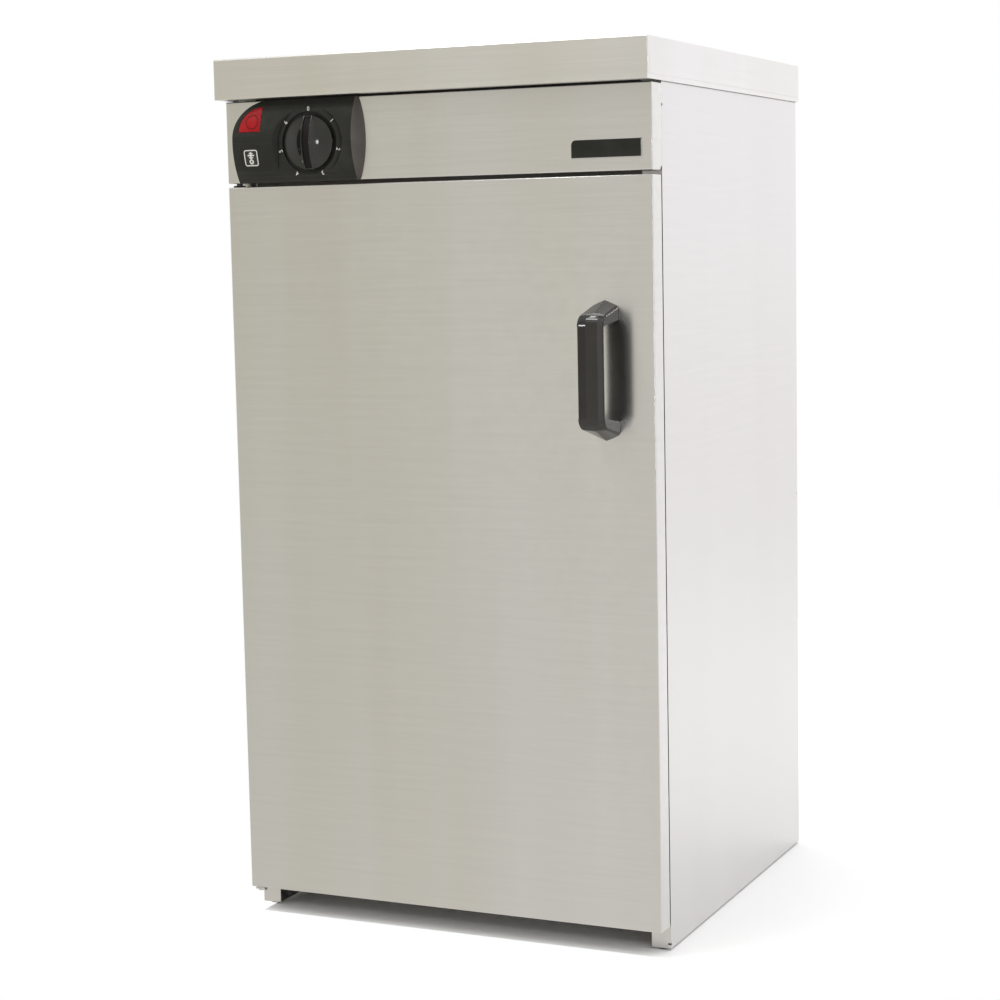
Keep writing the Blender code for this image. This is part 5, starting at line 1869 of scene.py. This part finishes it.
def makeBackScrews():
    rise = screwLook["rise"]
    names = sorted(name for name in nodes if name.startswith("back_screw"))
    low, high = boxOf(names[0])
    master = crossHeadScrew("backScrewMaster", high.y - rise - low.y)
    for name in names:
        low, high = boxOf(name)
        place = ((low.x + high.x) / 2, high.y - rise, (low.z + high.z) / 2)
        dress(copyOf(master, "panHead_" + name, place), zincSteel, nodes[name]["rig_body"], name)
    bpy.data.objects.remove(master, do_unlink=True)


makeBackScrews()

glandLook = {
    "collar": 9 * mm,
    "collarThick": 1.4 * mm,
    "outside": 8 * mm,
    "neck": 6.5 * mm,
    "tip": (5.9 * mm, 1.2 * mm),
    "bore": 4 * mm,
    "ribs": 4,
    "rib": 8.5 * mm,
    # how far inside the rib's radius, and how far along
    "ribSteps": (
        (0.7 * mm, 0.2 * mm),
        (0.7 * mm, 0.8 * mm),
        (0, 1.0 * mm),
        (0.15 * mm, 1.5 * mm),
    ),
    "ribPitch": 1.55 * mm,
    "ribTaper": 0.5 * mm,
    "mouth": 6.4 * mm,
}


def makeGland():
    # snap-in gland: ribbed collar outside, plain neck inside
    look = glandLook
    low, high = boxOf("cable_gland")
    x, z = (low.x + high.x) / 2, (low.z + high.z) / 2
    neck = high.y - look["outside"] - low.y
    collarEnd = neck + look["collarThick"]
    steps = [(look["tip"][0], 0), (look["neck"], look["tip"][1]), (look["neck"], neck)]
    steps += [(look["collar"], neck), (look["collar"], collarEnd)]
    for index in range(look["ribs"]):
        radius = look["rib"] - index * look["ribTaper"]
        reach = collarEnd + index * look["ribPitch"]
        steps += [(radius - inset, reach + along) for inset, along in look["ribSteps"]]
    steps += [(look["mouth"], neck + look["outside"])]
    gland = addTurned("ribbedGland", (x, low.y, z), steps, 48, (-90, 0, 0))
    start, end = low.y - 2 * mm, high.y + 2 * mm
    cutAway(gland, rodAlongY("glandBore", (x, z), start, end, look["bore"], 40))
    smooth(gland, 40)
    dress(gland, blackPlastic, "cabinet", "cable_gland")


makeGland()

glideLook = {
    "foot": (
        (6.2 * mm, 0),
        (6.9 * mm, 0.4 * mm),
        (7.0 * mm, 0.8 * mm),
        (7.0 * mm, 1.6 * mm),
        (6.9 * mm, 1.7 * mm),
    ),
    "shank": 3.0 * mm,
    "tip": 2.2 * mm,
    "tipLength": 1.5 * mm,
}


def makeGlides():
    look = glideLook
    names = sorted(name for name in nodes if name.startswith("glide"))

    def footOf(name):
        low, high = boxOf(name)
        return Vector(((low.x + high.x) / 2, (low.y + high.y) / 2, low.z))

    low, high = boxOf(names[0])
    first = footOf(names[0])
    top, shank = high.z - low.z, look["shank"]
    steps = [*look["foot"], (shank, look["foot"][-1][1])]
    steps += [(shank, top - look["tipLength"]), (look["tip"], top)]
    master = addTurned("nylonGlide", first, steps, 48, (0, 0, 0))
    smooth(master, 40)
    for name in names:
        dress(copyOf(master, "nylon_" + name, footOf(name) - first), nylonPlastic, "cabinet", name)
    bpy.data.objects.remove(master, do_unlink=True)


makeGlides()
print("handle, seal, inner sheet, screws, gland and glides made")

# camera, floor and light

camera = {
    "place": (0.9538, -2.1430, 0.6794),
    "yaw": 24.642,
    "pitch": -6.586,
    "roll": -1.161,
    "lens": 80.76,
}


def addCamera():
    data = bpy.data.cameras.new("camera")
    data.lens = camera["lens"]
    data.sensor_width = 36
    data.clip_start = 0.05
    item = bpy.data.objects.new("camera", data)
    bpy.context.scene.collection.objects.link(item)
    turn = (
        Matrix.Rotation(math.radians(camera["yaw"]), 4, "Z")
        @ Matrix.Rotation(math.radians(90 + camera["pitch"]), 4, "X")
        @ Matrix.Rotation(math.radians(camera["roll"]), 4, "Z")
    )
    item.matrix_world = Matrix.Translation(camera["place"]) @ turn
    bpy.context.scene.camera = item


addCamera()

floorLook = {
    "low": (-0.212, -0.204),
    "high": (3.2, 3.4),
    "tone": (0.97, 0.97, 0.97),
    "shade": 0.985,
    "rough": 0.6,
    "gloss": 0.2,
}


def addFloor():
    look = floorLook
    clearSelection()
    low, high = Vector((*look["low"], 0)), Vector((*look["high"], 0))
    bpy.ops.mesh.primitive_plane_add(size=1, location=(low + high) / 2)
    floor = nameIt(bpy.context.object, "floor")
    floor.scale = (*(high - low).xy, 1)
    settle(floor)
    material, tree, shader, where = newMaterial("paleFloor")
    shade = tuple(channel * look["shade"] for channel in look["tone"])
    cloud = noise(tree, where, 3.0, 2.0)
    tree.links.new(blendColour(tree, cloud, look["tone"], shade), shader.inputs["Base Color"])
    shader.inputs["Roughness"].default_value = look["rough"]
    shader.inputs["Specular IOR Level"].default_value = look["gloss"]
    floor.data.materials.append(material)


addFloor()

room = {
    "left": (1.25, 1.22, 1.18),
    "frontLeft": (0.70, 0.675, 0.57),
    "front": (0.86, 0.835, 0.81),
    "behindCamera": (0.42, 0.41, 0.40),
    "right": (1.36, 1.35, 1.39),
    "back": (1.25, 1.24, 1.27),
    "zenith": (1.1, 1.1, 1.1),
    "belowLeft": (0.80, 0.78, 0.71),
    "belowRight": (0.94, 0.91, 0.87),
}


def addWorld():
    # a soft room: dimmer and warm in front on the left, bright on the right and overhead
    world = bpy.data.worlds.new("studio")
    world.use_nodes = True
    bpy.context.scene.world = world
    tree = world.node_tree
    tree.nodes.clear()
    way = addNode(tree, "ShaderNodeTexCoord").outputs["Generated"]
    parts = axesOf(tree, way)
    side = addNode(tree, "ShaderNodeValToRGB", {"Fac": spread(tree, parts[0], 0.0, 1.0, -1.0, 1.0)})
    ramp = side.color_ramp
    ramp.interpolation = "B_SPLINE"
    stops = (
        (0.0, "left"),
        (0.09, "left"),
        (0.18, "frontLeft"),
        (0.27, "frontLeft"),
        (0.40, "front"),
        (0.56, "behindCamera"),
        (0.76, "behindCamera"),
        (0.90, "right"),
        (1.0, "right"),
    )
    while len(ramp.elements) < len(stops):
        ramp.elements.new(0.5)
    for element, (position, key) in zip(ramp.elements, stops):
        element.position = position
        element.color = (*room[key], 1)
    rear = spread(tree, parts[1], 0.0, 1.0, -0.2, 0.6)
    level = blendColour(tree, rear, side.outputs[0], room["back"])
    high = spread(tree, parts[2], 0.0, 1.0, 0.35, 0.95)
    full = blendColour(tree, high, level, room["zenith"])
    turned = spread(tree, parts[0], 0.0, 1.0, -0.52, -0.32)
    below = blendColour(tree, turned, room["belowLeft"], room["belowRight"])
    full = blendColour(tree, spread(tree, parts[2], 1.0, 0.0, -0.25, 0.02), full, below)
    seen = addNode(tree, "ShaderNodeLightPath").outputs["Is Camera Ray"]
    shown = blendColour(tree, seen, full, (1, 1, 1))
    back = addNode(tree, "ShaderNodeBackground", {"Color": shown})
    output = addNode(tree, "ShaderNodeOutputWorld")
    tree.links.new(back.outputs[0], output.inputs[0])


addWorld()

softboxes = {
    "stripLight": {
        "places": ((-0.75, -1.75, 2.1), (-0.75, -1.45, 2.45), (-0.75, -1.1, 2.75)),
        "target": (0, 0, 0.5),
        "size": (1.5, 0.16),
        "power": 1.0,
    },
    "overheadLight": {
        "places": ((-0.69, -1.16, 2.49), (-0.69, -0.39, 2.70), (-0.69, 0.48, 2.57)),
        "target": (0.17, -0.24, 0.6),
        "size": (0.7, 0.28),
        "power": 6.0,
    },
    "edgeLight": {
        "places": ((1.17, 1.1, 2.05),),
        "target": (0.18, -0.24, 0.6),
        "size": (0.55, 0.55),
        "power": 1.5,
    },
    "spotLight": {
        "places": ((0.81, -1.5, 0.86),),
        "target": (-0.112, -0.22, 0.778),
        "size": (0.2, 0.2),
        "power": 2.2,
    },
    "fillLight": {
        "places": ((1.3, 1.0, 2.5),),
        "target": (0.6, 0.6, 0),
        "size": (1.8, 1.8),
        "power": 10.0,
    },
}


def addSoftbox(name, spot, look):
    data = bpy.data.lights.new(name, "AREA")
    data.shape = "RECTANGLE"
    data.size, data.size_y = look["size"]
    data.energy = look["power"]
    item = bpy.data.objects.new(name, data)
    bpy.context.scene.collection.objects.link(item)
    item.location = spot
    aim = Vector(look["target"]) - Vector(spot)
    item.rotation_euler = aim.to_track_quat("-Z", "Y").to_euler()


for name, look in softboxes.items():
    for index, spot in enumerate(look["places"]):
        addSoftbox(f"{name}{index}" if len(look["places"]) > 1 else name, spot, look)
view = bpy.context.scene.view_settings
view.view_transform = "Standard"
view.look = "None"
view.exposure = 0
view.gamma = 1
print("camera, floor and light set")
